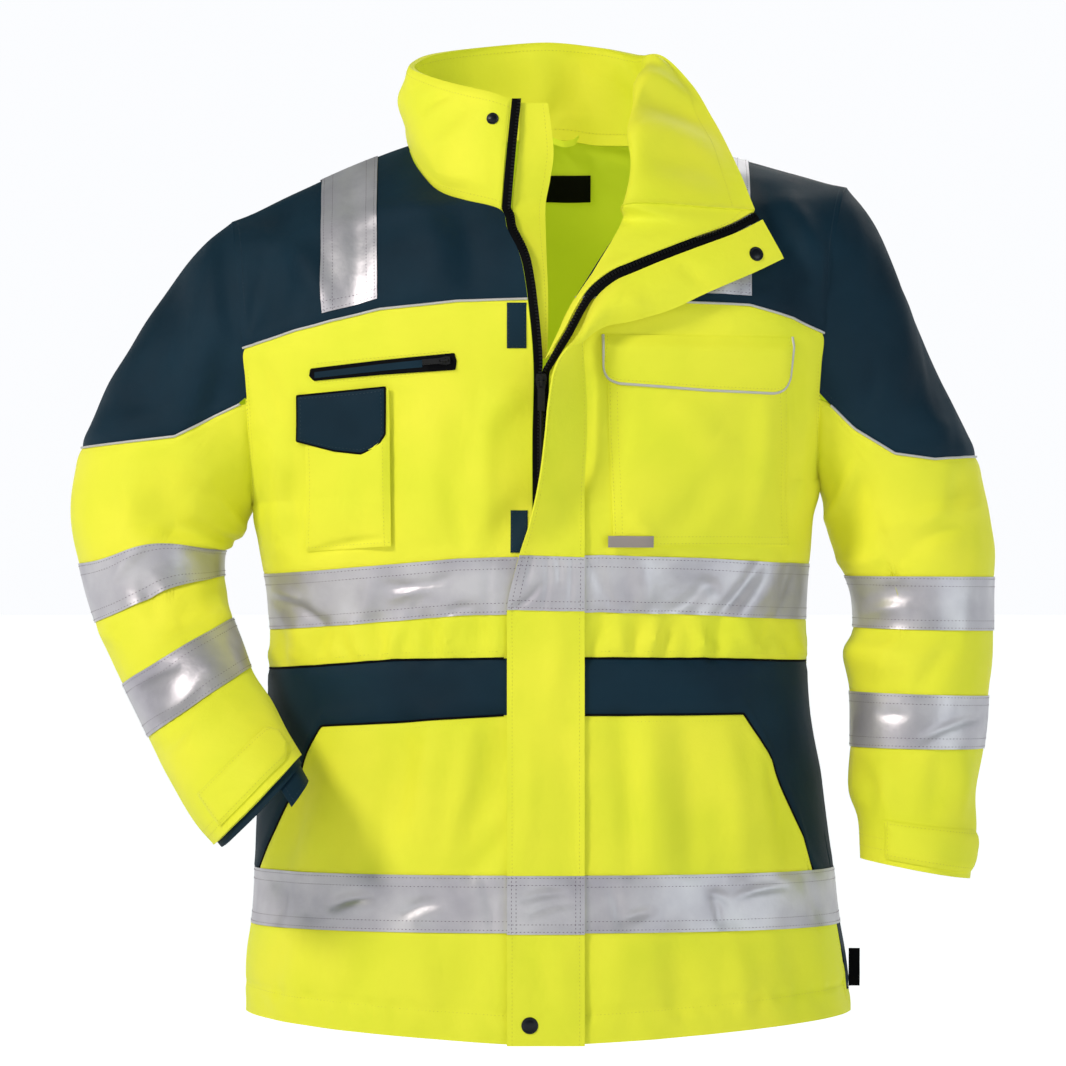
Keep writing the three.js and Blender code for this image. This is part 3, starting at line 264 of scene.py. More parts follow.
# The largest folds, as in the solids: x and z of both ends, width, height
BIG_FOLDS = {
    FRONT: [
        [-215, -452, -206, -350, 26, 4],
        [-120, -450, -150, -385, 24, -4],
        [110, -450, 165, -330, 26, -5],
        [190, -455, 215, -330, 26, 5],
        [-175, -790, -160, -560, 30, 5],
        [-95, -790, -80, -600, 28, -4],
        [95, -790, 80, -580, 30, 5],
        [185, -790, 150, -560, 30, -4],
    ],
    BACK: [
        [-190, -790, -150, -500, 32, 5],
        [-70, -790, -50, -480, 32, -5],
        [60, -790, 40, -520, 32, 5],
        [180, -790, 150, -480, 32, -5],
        [-150, -440, -180, -300, 30, -5],
        [150, -440, 170, -290, 30, -5],
        [-60, -440, 60, -400, 28, 4],
    ],
}
# The sleeves' largest folds: ring and angle of both ends, width in rings, height
SLEEVE_FOLDS = {
    "right": [
        [6.2, 170, 6.6, 70, 0.6, -6],
        [7.4, 175, 7.6, 50, 0.6, 6],
        [4, 165, 3, 95, 0.7, 5],
        [9.8, 160, 10.3, 70, 0.6, -5],
        [6.8, 195, 6, 290, 0.7, -6],
        [9.6, 200, 10, 290, 0.7, 5],
    ],
    "left": [
        [8.4, 175, 8.2, 70, 0.6, 4],
        [9.6, 178, 9.8, 80, 0.6, -4.5],
        [10.8, 178, 11, 90, 0.5, 6],
        [5, 165, 3, 100, 0.7, 5],
        [9.2, 185, 9, 280, 0.6, -6],
        [13.6, 170, 14, 60, 0.5, -4],
    ],
}
DEGREES_PER_RING = 30
# How much deeper the fine creases are made than the tables say, and their limits of slope and depth
CREASE_DEPTH = 2.7
STEEPEST, STEEPEST_SLEEVE = 0.72, 0.5
DEEPEST = 8.5
UNEVEN = 1.5
# How far cloth lies back under a tape
BODY_SINK, SLEEVE_SINK = 1.6, 2.6

# Finer creases: x and z of both ends, width, height and sideways bow
FRONT_CREASES = [
    # Chest, wearer's right
    [-132, -226, -132, -354, 4, -2.5, 0],
    [-57, -172, -56, -350, 1.8, -0.9, 1],
    [-205, -363, -140, -350, 4, -1.6, 2],
    [-128, -358, -58, -351, 2, -0.8, 0],
    [-52, -245, -14, -223, 13, 2.4, 3],
    [-40, -356, -12, -318, 13, -4, 3],
    [-46, -250, -50, -330, 10, 1.8, -3],
    [-238, -246, -231, -356, 11, 2.6, 3],
    [-221, -300, -214, -360, 8, -2.0, -2],
    [-100, -230, -96, -345, 16, 1.8, 5],
    [-248, -200, -236, -262, 10, -2.2, 3],
    [-170, -292, -165, -350, 12, 1.6, -3],
    [-85, -300, -70, -352, 9, -1.4, 2],
    # Waist tape, wearer's right
    [-236, -404, -192, -425, 4, -3.0, 5],
    [-236, -396, -215, -402, 5, 1.8, 1],
    [-134, -391, -84, -385, 4.5, -2.4, -4],
    [-128, -402, -96, -392, 5, 1.6, 2],
    [-84, -416, -62, -409, 4, -1.8, 1],
    [-112, -418, -108, -404, 2.5, -1.2, 1],
    [-44, -366, -46, -416, 2.6, -2.8, -2],
    [-150, -380, -160, -424, 9, 1.4, 3],
    # Waist tape, wearer's left
    [39, -366, 51, -412, 2.6, -2.4, 4],
    [51, -365, 63, -412, 3.2, -2.2, -3],
    [112, -415, 145, -389, 6, -3.4, -5],
    [145, -389, 154, -395, 5, -2.4, 1],
    [157, -417, 193, -368, 6, -5.2, -3],
    [172, -420, 206, -372, 8, 3.2, -2],
    [208, -417, 222, -374, 8, -4.6, -4],
    [86, -368, 92, -412, 10, 1.4, 2],
    # Chest, wearer's left
    [46, -196, 40, -250, 12, -3.0, 3],
    [44, -250, 14, -320, 13, -4.4, 5],
    [18, -318, 4, -358, 12, -3.6, 2],
    [64, -226, 54, -300, 12, -2.0, 3],
    [216, -226, 214, -350, 2, -1.0, 1],
    [110, -232, 150, -262, 15, 1.8, 4],
    [150, -300, 110, -345, 14, -1.8, 4],
    [196, -236, 186, -330, 12, 2.0, 4],
    [72, -330, 98, -352, 10, 1.4, 2],
    [228, -190, 234, -262, 8, -2.2, -3],
    [234, -230, 226, -330, 8, 1.8, 2],
    # Gathered waist
    [-236, -425, -228, -458, 7, -2.6, 1],
    [-214, -424, -209, -455, 7, 2.2, -1],
    [-190, -424, -198, -452, 7, -2.2, 2],
    [-168, -423, -160, -452, 7, 2.4, 1],
    [-146, -422, -141, -450, 6, -2.0, -1],
    [-124, -421, -134, -448, 7, 2.3, 1],
    [-101, -420, -94, -449, 7, -2.5, 2],
    [-78, -419, -84, -449, 6, 2.2, -2],
    [-58, -418, -52, -449, 6, -2.4, 1],
    [-40, -419, -36, -450, 5, 1.8, 0],
    [52, -418, 47, -450, 6, -2.2, 1],
    [68, -418, 74, -449, 6, 2.2, -1],
    [86, -419, 80, -450, 6, -2.4, 1],
    [102, -420, 97, -448, 6, 2.4, 2],
    [120, -424, 104, -449, 6, -2.6, -2],
    [136, -422, 144, -450, 6, 2.2, 1],
    [158, -422, 152, -450, 7, -2.4, 1],
    [178, -424, 186, -452, 7, 2.2, -1],
    [200, -424, 194, -452, 7, -2.2, 1],
    [222, -426, 228, -454, 7, 2.0, 1],
    # Hips and skirt, wearer's right
    [-122, -512, -148, -632, 16, -3.6, 6],
    [-90, -512, -100, -620, 15, 2.8, -5],
    [-40, -512, -58, -606, 13, -4.6, 6],
    [-64, -520, -86, -640, 10, 1.8, 4],
    [-176, -524, -205, -640, 16, 2.4, 5],
    [-215, -560, -236, -650, 12, -2.4, 4],
    [-34, -600, -60, -640, 9, -2.4, 3],
    [-154, -700, -164, -765, 16, -2.2, 4],
    [-110, -700, -104, -770, 16, 2.2, 4],
    [-60, -698, -70, -762, 14, -2.0, 3],
    [-210, -700, -222, -768, 14, 2.2, 3],
    # Hips and skirt, wearer's left
    [71, -512, 77, -634, 11, -4.0, 4],
    [96, -512, 104, -636, 14, 2.6, -4],
    [124, -514, 131, -636, 12, -2.2, 4],
    [160, -516, 176, -636, 14, 2.4, 5],
    [205, -560, 219, -640, 9, -2.6, 3],
    [190, -530, 196, -600, 10, 1.4, 2],
    [66, -700, 60, -768, 14, 2.0, 4],
    [112, -700, 122, -768, 16, -2.4, 4],
    [168, -700, 176, -766, 14, 2.2, 4],
    [220, -700, 232, -764, 12, -2.0, 3],
    # Hem tape
    [-51, -646, -43, -692, 3.4, -1.8, 2],
    [-180, -672, -150, -664, 5, -1.3, 2],
    [-118, -676, -92, -668, 5, -1.2, 2],
    [-228, -652, -232, -688, 6, -2.2, 1],
    [60, -652, 69, -690, 3.4, -1.9, 2],
    [74, -682, 92, -676, 4, -1.2, 1],
    [148, -660, 166, -668, 3.6, -1.4, 2],
    [174, -664, 214, -657, 3.6, -1.5, 2],
    [152, -664, 158, -688, 3.4, -1.4, 1],
    [236, -650, 246, -690, 6, -2.0, 1],
    # Yokes
    [-229, -84, -187, -152, 12, 2.6, 5],
    [-246, -100, -262, -170, 10, -2.4, 3],
    [-232, -50, -240, -160, 15, -2.6, 6],
    [-110, -55, -88, -120, 16, 1.8, 5],
    [-70, -62, -62, -130, 13, -1.6, 3],
    [200, -50, 236, -150, 15, -2.2, 5],
    [222, -56, 252, -130, 12, 2.2, 4],
    [-170, -18, -164, -140, 10, -1.4, 4],
    [162, -30, 158, -128, 10, 1.4, 3],
]
BACK_CREASES = [
    [-215, -452, -196, -330, 16, 2.6, 5],
    [-118, -450, -150, -360, 14, -3.2, 5],
    [-40, -452, -66, -380, 13, 2.4, 4],
    [34, -450, 60, -372, 13, -2.6, 4],
    [112, -452, 150, -350, 15, 3.0, 5],
    [206, -452, 196, -340, 13, -2.8, 4],
    [-70, -120, -150, -150, 16, 2.0, 6],
    [60, -110, 160, -146, 16, -2.0, 6],
    [-226, -90, -240, -170, 13, -2.6, 4],
    [222, -80, 240, -165, 13, -2.4, 4],
    [-180, -190, -226, -262, 13, 2.6, 4],
    [176, -186, 222, -256, 13, 2.4, 4],
    [-16, -190, 8, -340, 18, 2.2, 6],
    [-96, -220, -70, -340, 15, -2.0, 5],
    [92, -214, 74, -330, 15, 1.8, 5],
    [-236, -404, -196, -420, 5, -2.6, 4],
    [-120, -396, -78, -388, 5, -2.0, 3],
    [-24, -374, -20, -416, 4, -2.0, 2],
    [58, -376, 66, -418, 4, -1.8, 2],
    [142, -414, 178, -380, 6, -3.0, 4],
    [208, -416, 226, -378, 7, -2.6, 3],
    [-212, -426, -205, -460, 8, 2.4, 2],
    [-176, -426, -182, -458, 8, -2.4, 2],
    [-142, -426, -134, -462, 8, 2.2, 2],
    [-104, -426, -110, -458, 8, -2.4, 2],
    [-66, -426, -58, -460, 8, 2.4, 2],
    [-28, -426, -34, -458, 8, -2.2, 2],
    [12, -426, 18, -460, 8, 2.4, 2],
    [50, -426, 44, -458, 8, -2.2, 2],
    [90, -426, 98, -460, 8, 2.2, 2],
    [132, -426, 124, -458, 8, -2.4, 2],
    [172, -426, 180, -460, 8, 2.2, 2],
    [212, -426, 206, -458, 8, -2.0, 2],
    [-140, -500, -162, -636, 16, -2.8, 6],
    [-10, -490, -22, -632, 16, 2.6, 6],
    [110, -500, 126, -636, 16, 2.6, 6],
    [218, -520, 232, -636, 13, -2.4, 4],
    [-226, -520, -240, -636, 13, 2.2, 4],
    [-46, -650, -40, -690, 4, -1.6, 2],
    [70, -656, 112, -666, 5, -1.3, 2],
    [-170, -660, -132, -668, 5, -1.4, 2],
    [190, -652, 198, -690, 4, -1.6, 2],
    [-120, -700, -128, -770, 16, 2.0, 4],
    [20, -700, 26, -770, 16, -2.0, 4],
    [134, -700, 128, -770, 16, 2.0, 4],
    [210, -700, 220, -768, 13, -1.8, 3],
    [-208, -700, -216, -768, 13, -2.0, 3],
]
SLEEVE_CREASES = {
    "right": [
        [-345, -284, -328, -339, 13, -3.6, 4],
        [-302, -302, -277, -326, 12, -3.2, 4],
        [-372, -300, -366, -342, 12, 2.4, 3],
        [-316, -354, -292, -368, 7, -3.6, 2],
        [-380, -388, -340, -344, 6, 2.6, 3],
        [-311, -410, -331, -430, 6, -2.4, 2],
        [-392, -432, -372, -440, 8, 1.6, 2],
        [-352, -392, -344, -420, 9, -1.6, 2],
        [-300, -470, -330, -500, 8, -1.8, 3],
        [-288, -500, -318, -534, 9, 2.0, 3],
        [-340, -540, -300, -512, 8, -1.6, 2],
        [-352, -476, -322, -462, 5, -1.4, 2],
        [-330, -120, -350, -220, 15, -2.2, 5],
        [-300, -110, -312, -240, 15, 2.0, 5],
        [-384, -232, -340, -226, 12, -1.8, 3],
        [-282, -196, -300, -252, 10, -2.2, 3],
        [-294, -84, -286, -170, 9, 2.0, -3],
    ],
    "left": [
        [283, -266, 267, -367, 12, -3.6, 4],
        [318, -367, 373, -338, 7, -4.0, 5],
        [330, -340, 386, -322, 9, 3.0, 5],
        [285, -402, 331, -399, 9, -3.4, 3],
        [290, -416, 322, -412, 6, 3.4, 2],
        [293, -387, 336, -363, 9, -2.4, 3],
        [300, -352, 330, -330, 9, 2.2, 3],
        [337, -480, 364, -447, 9, -1.8, 3],
        [302, -470, 316, -440, 8, 1.8, 2],
        [337, -527, 388, -509, 3.6, -1.5, 2],
        [304, -506, 320, -506, 5, -1.2, 1],
        [281, -552, 290, -588, 7, -3.2, 2],
        [298, -556, 306, -590, 8, 2.0, 2],
        [352, -548, 346, -590, 10, -1.4, 3],
        [374, -546, 372, -590, 8, 1.4, 2],
        [296, -188, 289, -234, 10, -2.2, 3],
        [332, -130, 360, -230, 14, -1.8, 5],
        [304, -90, 330, -200, 14, 2.0, 5],
        [350, -240, 356, -272, 11, 1.6, 2],
        [376, -290, 364, -330, 10, -1.8, 3],
    ],
}
# Collar creases, with 25 mm for each column and 95 mm from seam to edge
COLLAR_CREASES = [
    [46, 80, 70, 40, 10, -1.6, 3],
    [64, 86, 78, 66, 5, -2.4, 2],
    [96, 70, 118, 40, 14, 1.8, 3],
    [196, 88, 200, 20, 6, -2.0, 2],
    [212, 90, 214, 30, 8, 1.6, 2],
    [150, 80, 158, 30, 9, -1.6, 2],
    [236, 85, 244, 30, 9, -1.6, 2],
    [268, 60, 282, 80, 8, -3.0, 2],
    [292, 46, 306, 84, 10, -2.4, 3],
    [312, 50, 326, 88, 12, 2.0, 3],
    [338, 44, 350, 84, 12, -1.8, 3],
    [364, 52, 376, 90, 12, 1.6, 3],
    [20, 20, 60, 14, 10, 1.4, 2],
    [120, 26, 160, 22, 10, -1.2, 2],
]


def mix(a, b, t):
    return a + (b - a) * t


def look(rows, key):
    """A table's columns at each key, on a smooth curve through its rows."""
    rows = np.asarray(rows, float)
    key = np.asarray(key, float)
    low = np.clip(np.searchsorted(rows[1:-1, 0], key, side="left"), 0, len(rows) - 2)
    a, b = rows[low], rows[low + 1]
    before = rows[np.maximum(low - 1, 0)]
    after = rows[np.minimum(low + 2, len(rows) - 1)]
    span = b[..., :1] - a[..., :1]
    t = np.clip((key[..., None] - a[..., :1]) / span, 0, 1)
    slope_a = (b - before) / (b[..., :1] - before[..., :1]) * span
    slope_b = (after - a) / (after[..., :1] - a[..., :1]) * span
    level = (2 * t**3 - 3 * t**2 + 1) * a + (3 * t**2 - 2 * t**3) * b
    return level + (t**3 - 2 * t**2 + t) * slope_a + (t**3 - t**2) * slope_b


def smoothstep(x, low, high):
    t = np.clip((x - low) / (high - low), 0, 1)
    return t * t * (3 - 2 * t)


def stack(x, y, z):
    return np.stack(np.broadcast_arrays(np.asarray(x, float), y, z), axis=-1)


def unit(v):
    return v / np.maximum(np.linalg.norm(v, axis=-1, keepdims=True), 1e-9)


def height_of(line, x):
    line = np.asarray(line, float)
    return np.interp(x, line[:, 0], line[:, 1])


# Shape of the body and sleeves, as in the solids
def inner_point(side, face, way):
    way = np.asarray(way, float)
    z = mix(HEM_CENTRE, CHEST_START, way)
    depth = look(BODY, z)
    if face > 0:
        edge = look(EDGE_BACK, way)
        low = stack(0 * way, depth[..., 4], z)
        x = np.where(way <= NECK_WAY + 1e-9, 0, edge[..., 1] * NECK_HALF[side])
        high = stack(x, edge[..., 2], edge[..., 3])
    else:
        edge = look(EDGE_LEFT if side == "left" else EDGE_RIGHT, way)
        low = stack(0 * way + 8 * SIGNS[side], -depth[..., 3], z)
        high = edge[..., 1:4]
    return np.where((way <= 1)[..., None], low, high)


def outer_point(side, face, way):
    way = np.asarray(way, float)
    arm = ARMHOLES[side]
    sign = SIGNS[side]
    angle = np.pi * (2 - way)
    t = (1 - np.cos(angle)) / 2
    high = stack(
        mix(arm["tip"][0], arm["pit"][0], t) - sign * arm["bow"][face] * np.sin(angle),
        face * arm["depth"] * np.sin(angle),
        mix(arm["tip"][1], arm["pit"][1], t),
    )
    z = mix(HEM_SIDE, arm["pit"][1], way)
    half = look(BODY, z)[..., 2 if side == "left" else 1]
    x = sign * mix(half, abs(arm["pit"][0]), smoothstep(way, 0.93, 1))
    return np.where((way >= 1)[..., None], high, stack(x, 0 * way, z))


def panel_point(side, face, across, way):
    across, way = np.broadcast_arrays(np.asarray(across, float), np.asarray(way, float))
    sign = SIGNS[side]
    a = inner_point(side, face, way)
    d = outer_point(side, face, way)
    high = np.maximum(way - 1, 0)
    turn = (1 - high) * (np.pi / 2)
    dx = np.abs(d[..., 0] - a[..., 0])
    dy = np.abs(d[..., 1] - a[..., 1])
    slope = (d[..., 2] - a[..., 2]) / dx
    fullness = mix(0.6, 0.36, high)
    start = fullness * dx
    end = fullness * mix(dx, dy, np.sin(turn))
    b = a + stack(sign * start, 0, slope * start * 0.7)
    c = d + stack(-sign * np.cos(turn) * end, face * np.sin(turn) * end, -slope * np.cos(turn) * end)
    t = across[..., None]
    return (1 - t) ** 3 * a + 3 * (1 - t) ** 2 * t * b + 3 * (1 - t) * t**2 * c + t**3 * d


def sleeve_point(side, ring, angle):
    ring, angle = np.broadcast_arrays(np.asarray(ring, float), np.asarray(angle, float))
    r = look(SLEEVES[side], ring)
    arm = ARMHOLES[side]
    sign = SIGNS[side]
    bow = np.where(np.sin(angle) >= 0, arm["bow"][FRONT], arm["bow"][BACK]) * np.maximum(0, 1 - ring / 3)
    t = (1 - np.cos(angle)) / 2
    return stack(
        mix(r[..., 1], r[..., 3], t) - sign * bow * np.abs(np.sin(angle)),
        r[..., 5] - r[..., 6] * np.sin(angle),
        mix(r[..., 2], r[..., 4], t),
    )


def creased(a, b, folds, gain=1.0, steepest=STEEPEST):
    """The height that a list of folds gives at places a, b of their plane, never too steep."""
    total = np.zeros(np.broadcast(a, b).shape)
    for x0, z0, x1, z1, width, height, *bow in folds:
        if gain != 1:
            height = math.copysign(min(abs(height) * gain, steepest * width), height)
        dx, dz = x1 - x0, z1 - z0
        length = math.hypot(dx, dz)
        t = np.clip(((a - x0) * dx + (b - z0) * dz) / length**2, 0, 1)
        side = (bow[0] if bow else 0) * 4 * t * (1 - t) / length
        away = np.hypot(a - x0 - t * dx + side * dz, b - z0 - t * dz - side * dx) / width
        total += height * np.exp(-(away**2)) * np.sin(np.pi * mix(0.15, 0.85, t))
    return total


def ripple(x, z, face):
    """Small soft unevenness of padded cloth."""
    a = np.sin(x / 17 + 1.3 * np.sin(z / 31 + face)) * np.sin(z / 23 + 0.7 * face)
    b = np.sin(x / 9.1 - z / 12.7 + 2 * face) * np.sin(z / 15.3 + x / 40)
    return 0.45 * a + 0.22 * b


BANDS = [WAIST_TOP, HEM_TOP]
HEM_CHANNEL = 27.0


def drawn_in(x, z, way, face):
    """The hem's channel seam and the elastic above the hip band, with their small puckers."""
    above = (way * (CHEST_START - HEM_CENTRE)) - HEM_CHANNEL
    seam = -1.5 * np.exp(-((above / 3.5) ** 2))
    pucker = np.sin(x / 2.6 + 1.7 * np.sin(x / 19 + face)) * (0.6 + 0.4 * np.sin(x / 31 + 1))
    lean = np.sin((x + 0.5 * above) / 3.9 + np.sin(x / 23))
    total = seam + 0.9 * pucker * np.exp(-((above / 9) ** 2))
    total = total + 0.8 * lean * np.exp(-(((above + 8) / 14) ** 2))
    below = z - height_of(HIP_TOP, x)
    gathered = np.exp(-(((below - 9) / 11) ** 2))
    return total + (1.5 * np.sin(x / 4.4 + 1.5 * np.sin(x / 21)) + 0.9 * np.sin((x + below) / 3.1)) * gathered


def between(x, low, high, soft):
    """1 between low and high, falling softly to 0 at both."""
    return smoothstep(x, low, low + soft) * (1 - smoothstep(x, high - soft, high))


def under_bands(x, z):
    """The panel lies a little lower under a tape, so it never comes through."""
    total = 0
    for top in BANDS:
        high = height_of(top, x)
        total = total - BODY_SINK * between(z, high - TAPE_WIDTH, high, 4)
    return total


def panel(side, face, across, way, tape=False):
    """Points and normals of a body panel with its folds."""
    across, way = np.broadcast_arrays(np.asarray(across, float), np.asarray(way, float))
    p = panel_point(side, face, across, way)
    e = 0.002
    du = panel_point(side, face, np.clip(across + e, 0, 1), way)
    du = du - panel_point(side, face, np.clip(across - e, 0, 1), way)
    dv = panel_point(side, face, across, np.clip(way + e, 0, 2))
    dv = dv - panel_point(side, face, across, np.clip(way - e, 0, 2))
    sign = SIGNS[side]
    n = unit(np.cross(du, dv)) * -sign * face
    if face > 0:
        middle = (across < 1e-9) & (way <= NECK_WAY + 1e-9)
        n[middle, 0] = 0
        n = unit(n)
    x, z = p[..., 0], p[..., 2]
    fade = smoothstep(1 - across, 0, 0.07) * (1 - smoothstep(way, 1.95, 2))
    rise = creased(x, z, BIG_FOLDS[face])
    rise = rise + creased(x, z, FRONT_CREASES if face < 0 else BACK_CREASES, CREASE_DEPTH)
    rise = rise + UNEVEN * ripple(x, z, face) + drawn_in(x, z, way, face)
    rise = DEEPEST * np.tanh(rise / DEEPEST) * fade
    if not tape:
        rise = rise + under_bands(x, z)
    return p + n * rise[..., None], n


def sleeve_rise(side, ring, angle, p):
    """The height of a sleeve's folds."""
    degrees = np.degrees(angle) % 360
    rise = creased(ring, degrees / DEGREES_PER_RING, [
        [f[0], f[1] / DEGREES_PER_RING, f[2], f[3] / DEGREES_PER_RING, f[4], f[5]] for f in SLEEVE_FOLDS[side]
    ])
    front = smoothstep(np.sin(angle), -0.1, 0.45)
    back = smoothstep(-np.sin(angle), -0.1, 0.45)
    x, z = p[..., 0], p[..., 2]
    rise = rise + creased(x, z, SLEEVE_CREASES[side], CREASE_DEPTH, STEEPEST_SLEEVE) * front
    rise = rise - 0.5 * creased(x + 6, z - 14, SLEEVE_CREASES[side], CREASE_DEPTH, STEEPEST_SLEEVE) * back
    rise = rise + UNEVEN * ripple(z, x + p[..., 1] * 1.4, 0.5)
    return DEEPEST * np.tanh(rise / DEEPEST) * smoothstep(ring, 0, 0.5)


def sleeve(side, ring, angle, tape=False):
    """Points and normals of a sleeve with its folds."""
    ring, angle = np.broadcast_arrays(np.asarray(ring, float), np.asarray(angle, float))
    p = sleeve_point(side, ring, angle)
    e = 0.02
    last = LAST_RING[side]
    du = sleeve_point(side, ring, angle + e) - sleeve_point(side, ring, angle - e)
    dv = sleeve_point(side, np.clip(ring + e, 0, last), angle)
    dv = dv - sleeve_point(side, np.clip(ring - e, 0, last), angle)
    n = unit(np.cross(du, dv))
    centre = (sleeve_point(side, ring, 0 * angle) + sleeve_point(side, ring, 0 * angle + np.pi)) / 2
    n = outward(n, p, centre)
    rise = sleeve_rise(side, ring, angle, p)
    if not tape:
        for low, high in (UPPER_TAPE[side], LOWER_TAPE[side]):
            rise = rise - SLEEVE_SINK * between(ring, low, high, 0.15)
    return p + n * rise[..., None], n


HALVINGS = 34


def halved(low, high, falls_short):
    """The values between low and high at which a test turns from true to false."""
    for turn in range(HALVINGS):
        middle = (low + high) / 2
        short = falls_short(middle)
        low, high = np.where(short, middle, low), np.where(short, high, middle)
    return (low + high) / 2


def way_of(side, face, across, line):
    """Where a panel's columns cross a line of x and z."""
    def below(way):
        p = panel_point(side, face, across, way)
        return p[..., 2] < height_of(line, p[..., 0])

    return halved(np.zeros_like(across), np.full_like(across, 2.0), below)


def ring_of(side, angle, line):
    """Where a sleeve's columns cross a line of x and z."""
    def above(ring):
        p = sleeve_point(side, ring, angle)
        return p[..., 2] > height_of(line, p[..., 0])

    return halved(np.zeros_like(angle), np.full_like(angle, LAST_RING[side]), above)


def locate(side, face, x, z):
    """The across and way of a panel's point at x, z."""
    grid_a, grid_w = np.meshgrid(np.linspace(0, 1, 41), np.linspace(0, 2, 81))
    grid = panel_point(side, face, grid_a, grid_w)
    flat = grid.reshape(-1, 3)
    shape = np.shape(x)
    x, z = np.ravel(x).astype(float), np.ravel(z).astype(float)
    near = np.argmin((flat[None, :, 0] - x[:, None]) ** 2 + (flat[None, :, 2] - z[:, None]) ** 2, axis=1)
    a, w = grid_a.ravel()[near], grid_w.ravel()[near]
    e = 1e-4
    for _ in range(8):
        p = panel_point(side, face, a, w)
        pa = (panel_point(side, face, a + e, w) - p) / e
        pw = (panel_point(side, face, a, w + e) - p) / e
        det = pa[:, 0] * pw[:, 2] - pa[:, 2] * pw[:, 0]
        det = np.where(np.abs(det) < 1e-6, 1e-6, det)
        rx, rz = x - p[:, 0], z - p[:, 2]
        a = np.clip(a + np.clip((rx * pw[:, 2] - rz * pw[:, 0]) / det, -0.05, 0.05), 0, 1)
        w = np.clip(w + np.clip((pa[:, 0] * rz - pa[:, 2] * rx) / det, -0.05, 0.05), 0, 2)
    return a.reshape(shape), w.reshape(shape)


def front_y(x, z):
    """The depth of the plain front at x, z."""
    x, z = np.broadcast_arrays(np.asarray(x, float), np.asarray(z, float))
    out = np.zeros(x.shape)
    for side, mask in (("left", x >= 0), ("right", x < 0)):
        if mask.any():
            a, w = locate(side, FRONT, x[mask], z[mask])
            out[mask] = panel_point(side, FRONT, a, w)[..., 1]
    return out


def normals_of(p):
    du = np.gradient(p, axis=1)
    dv = np.gradient(p, axis=0)
    return unit(np.cross(du, dv))


def towards(n, way):
    """Turns a grid's normals so that the middle one faces a way."""
    middle = n[n.shape[0] // 2, n.shape[1] // 2]
    return -n if np.dot(middle, way) < 0 else n


def outward(n, p, centre):
    """Turns normals away from a tube's middle line."""
    return np.where(np.sum(n * (p - centre), -1, keepdims=True) < 0, -n, n)


def lengths(p, axis):
    """How far each point lies along its row or column."""
    steps = np.linalg.norm(np.diff(p, axis=axis), axis=-1)
    zero = np.zeros_like(np.take(steps, [0], axis=axis))
    return np.concatenate([zero, np.cumsum(steps, axis=axis)], axis=axis)


def along(t, s, values):
    """Rows of values, known at lengths s, at the lengths t."""
    return np.stack([np.interp(t, s, column) for column in values.T], -1)


def finer(path, count):
    """A line with its points spaced evenly."""
    path = np.asarray(path, float)
    s = lengths(path[None], 1)[0]
    return along(np.linspace(0, s[-1], count), s, path)


def smoother(line, rounds):
    """A line with its inner points drawn towards their neighbours."""
    line = line.copy()
    for turn in range(rounds):
        line[1:-1] = (line[:-2] + 2 * line[1:-1] + line[2:]) / 4
    return line


def spaced(s, pitch):
    """How many steps of about a pitch fit a length, and their middles."""
    total = int(s[-1] / pitch)
    return total, (np.arange(total) + 0.5) * s[-1] / total


def shares_of(p, shares):
    """The rows that lie nearest to shares of a grid."""
    return [int(round(share * (p.shape[0] - 1))) for share in shares]


# Meshes, and the width, length and area in metres of each piece's cut, laid flat
PIECES, FLAT = {}, {}


def link(obj):
    bpy.context.scene.collection.objects.link(obj)
    return obj


def mesh_object(name, verts, faces, uvs, material, slot, sharp=50):
    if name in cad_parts:
        name += "_cloth"
    mesh = bpy.data.meshes.new(name)
    mesh.from_pydata((np.asarray(verts) * MM).tolist(), [], [list(map(int, f)) for f in faces])
    if uvs is not None:
        layer = mesh.uv_layers.new(name="UVMap")
        layer.data.foreach_set("uv", np.asarray(uvs, np.float32).ravel())
    mesh.materials.append(material)
    mesh.polygons.foreach_set("use_smooth", [True] * len(mesh.polygons))
    mesh.set_sharp_from_angle(angle=math.radians(sharp))
    mesh.update()
    obj = link(bpy.data.objects.new(name, mesh))
    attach(obj, BODY_NAME)
    return obj


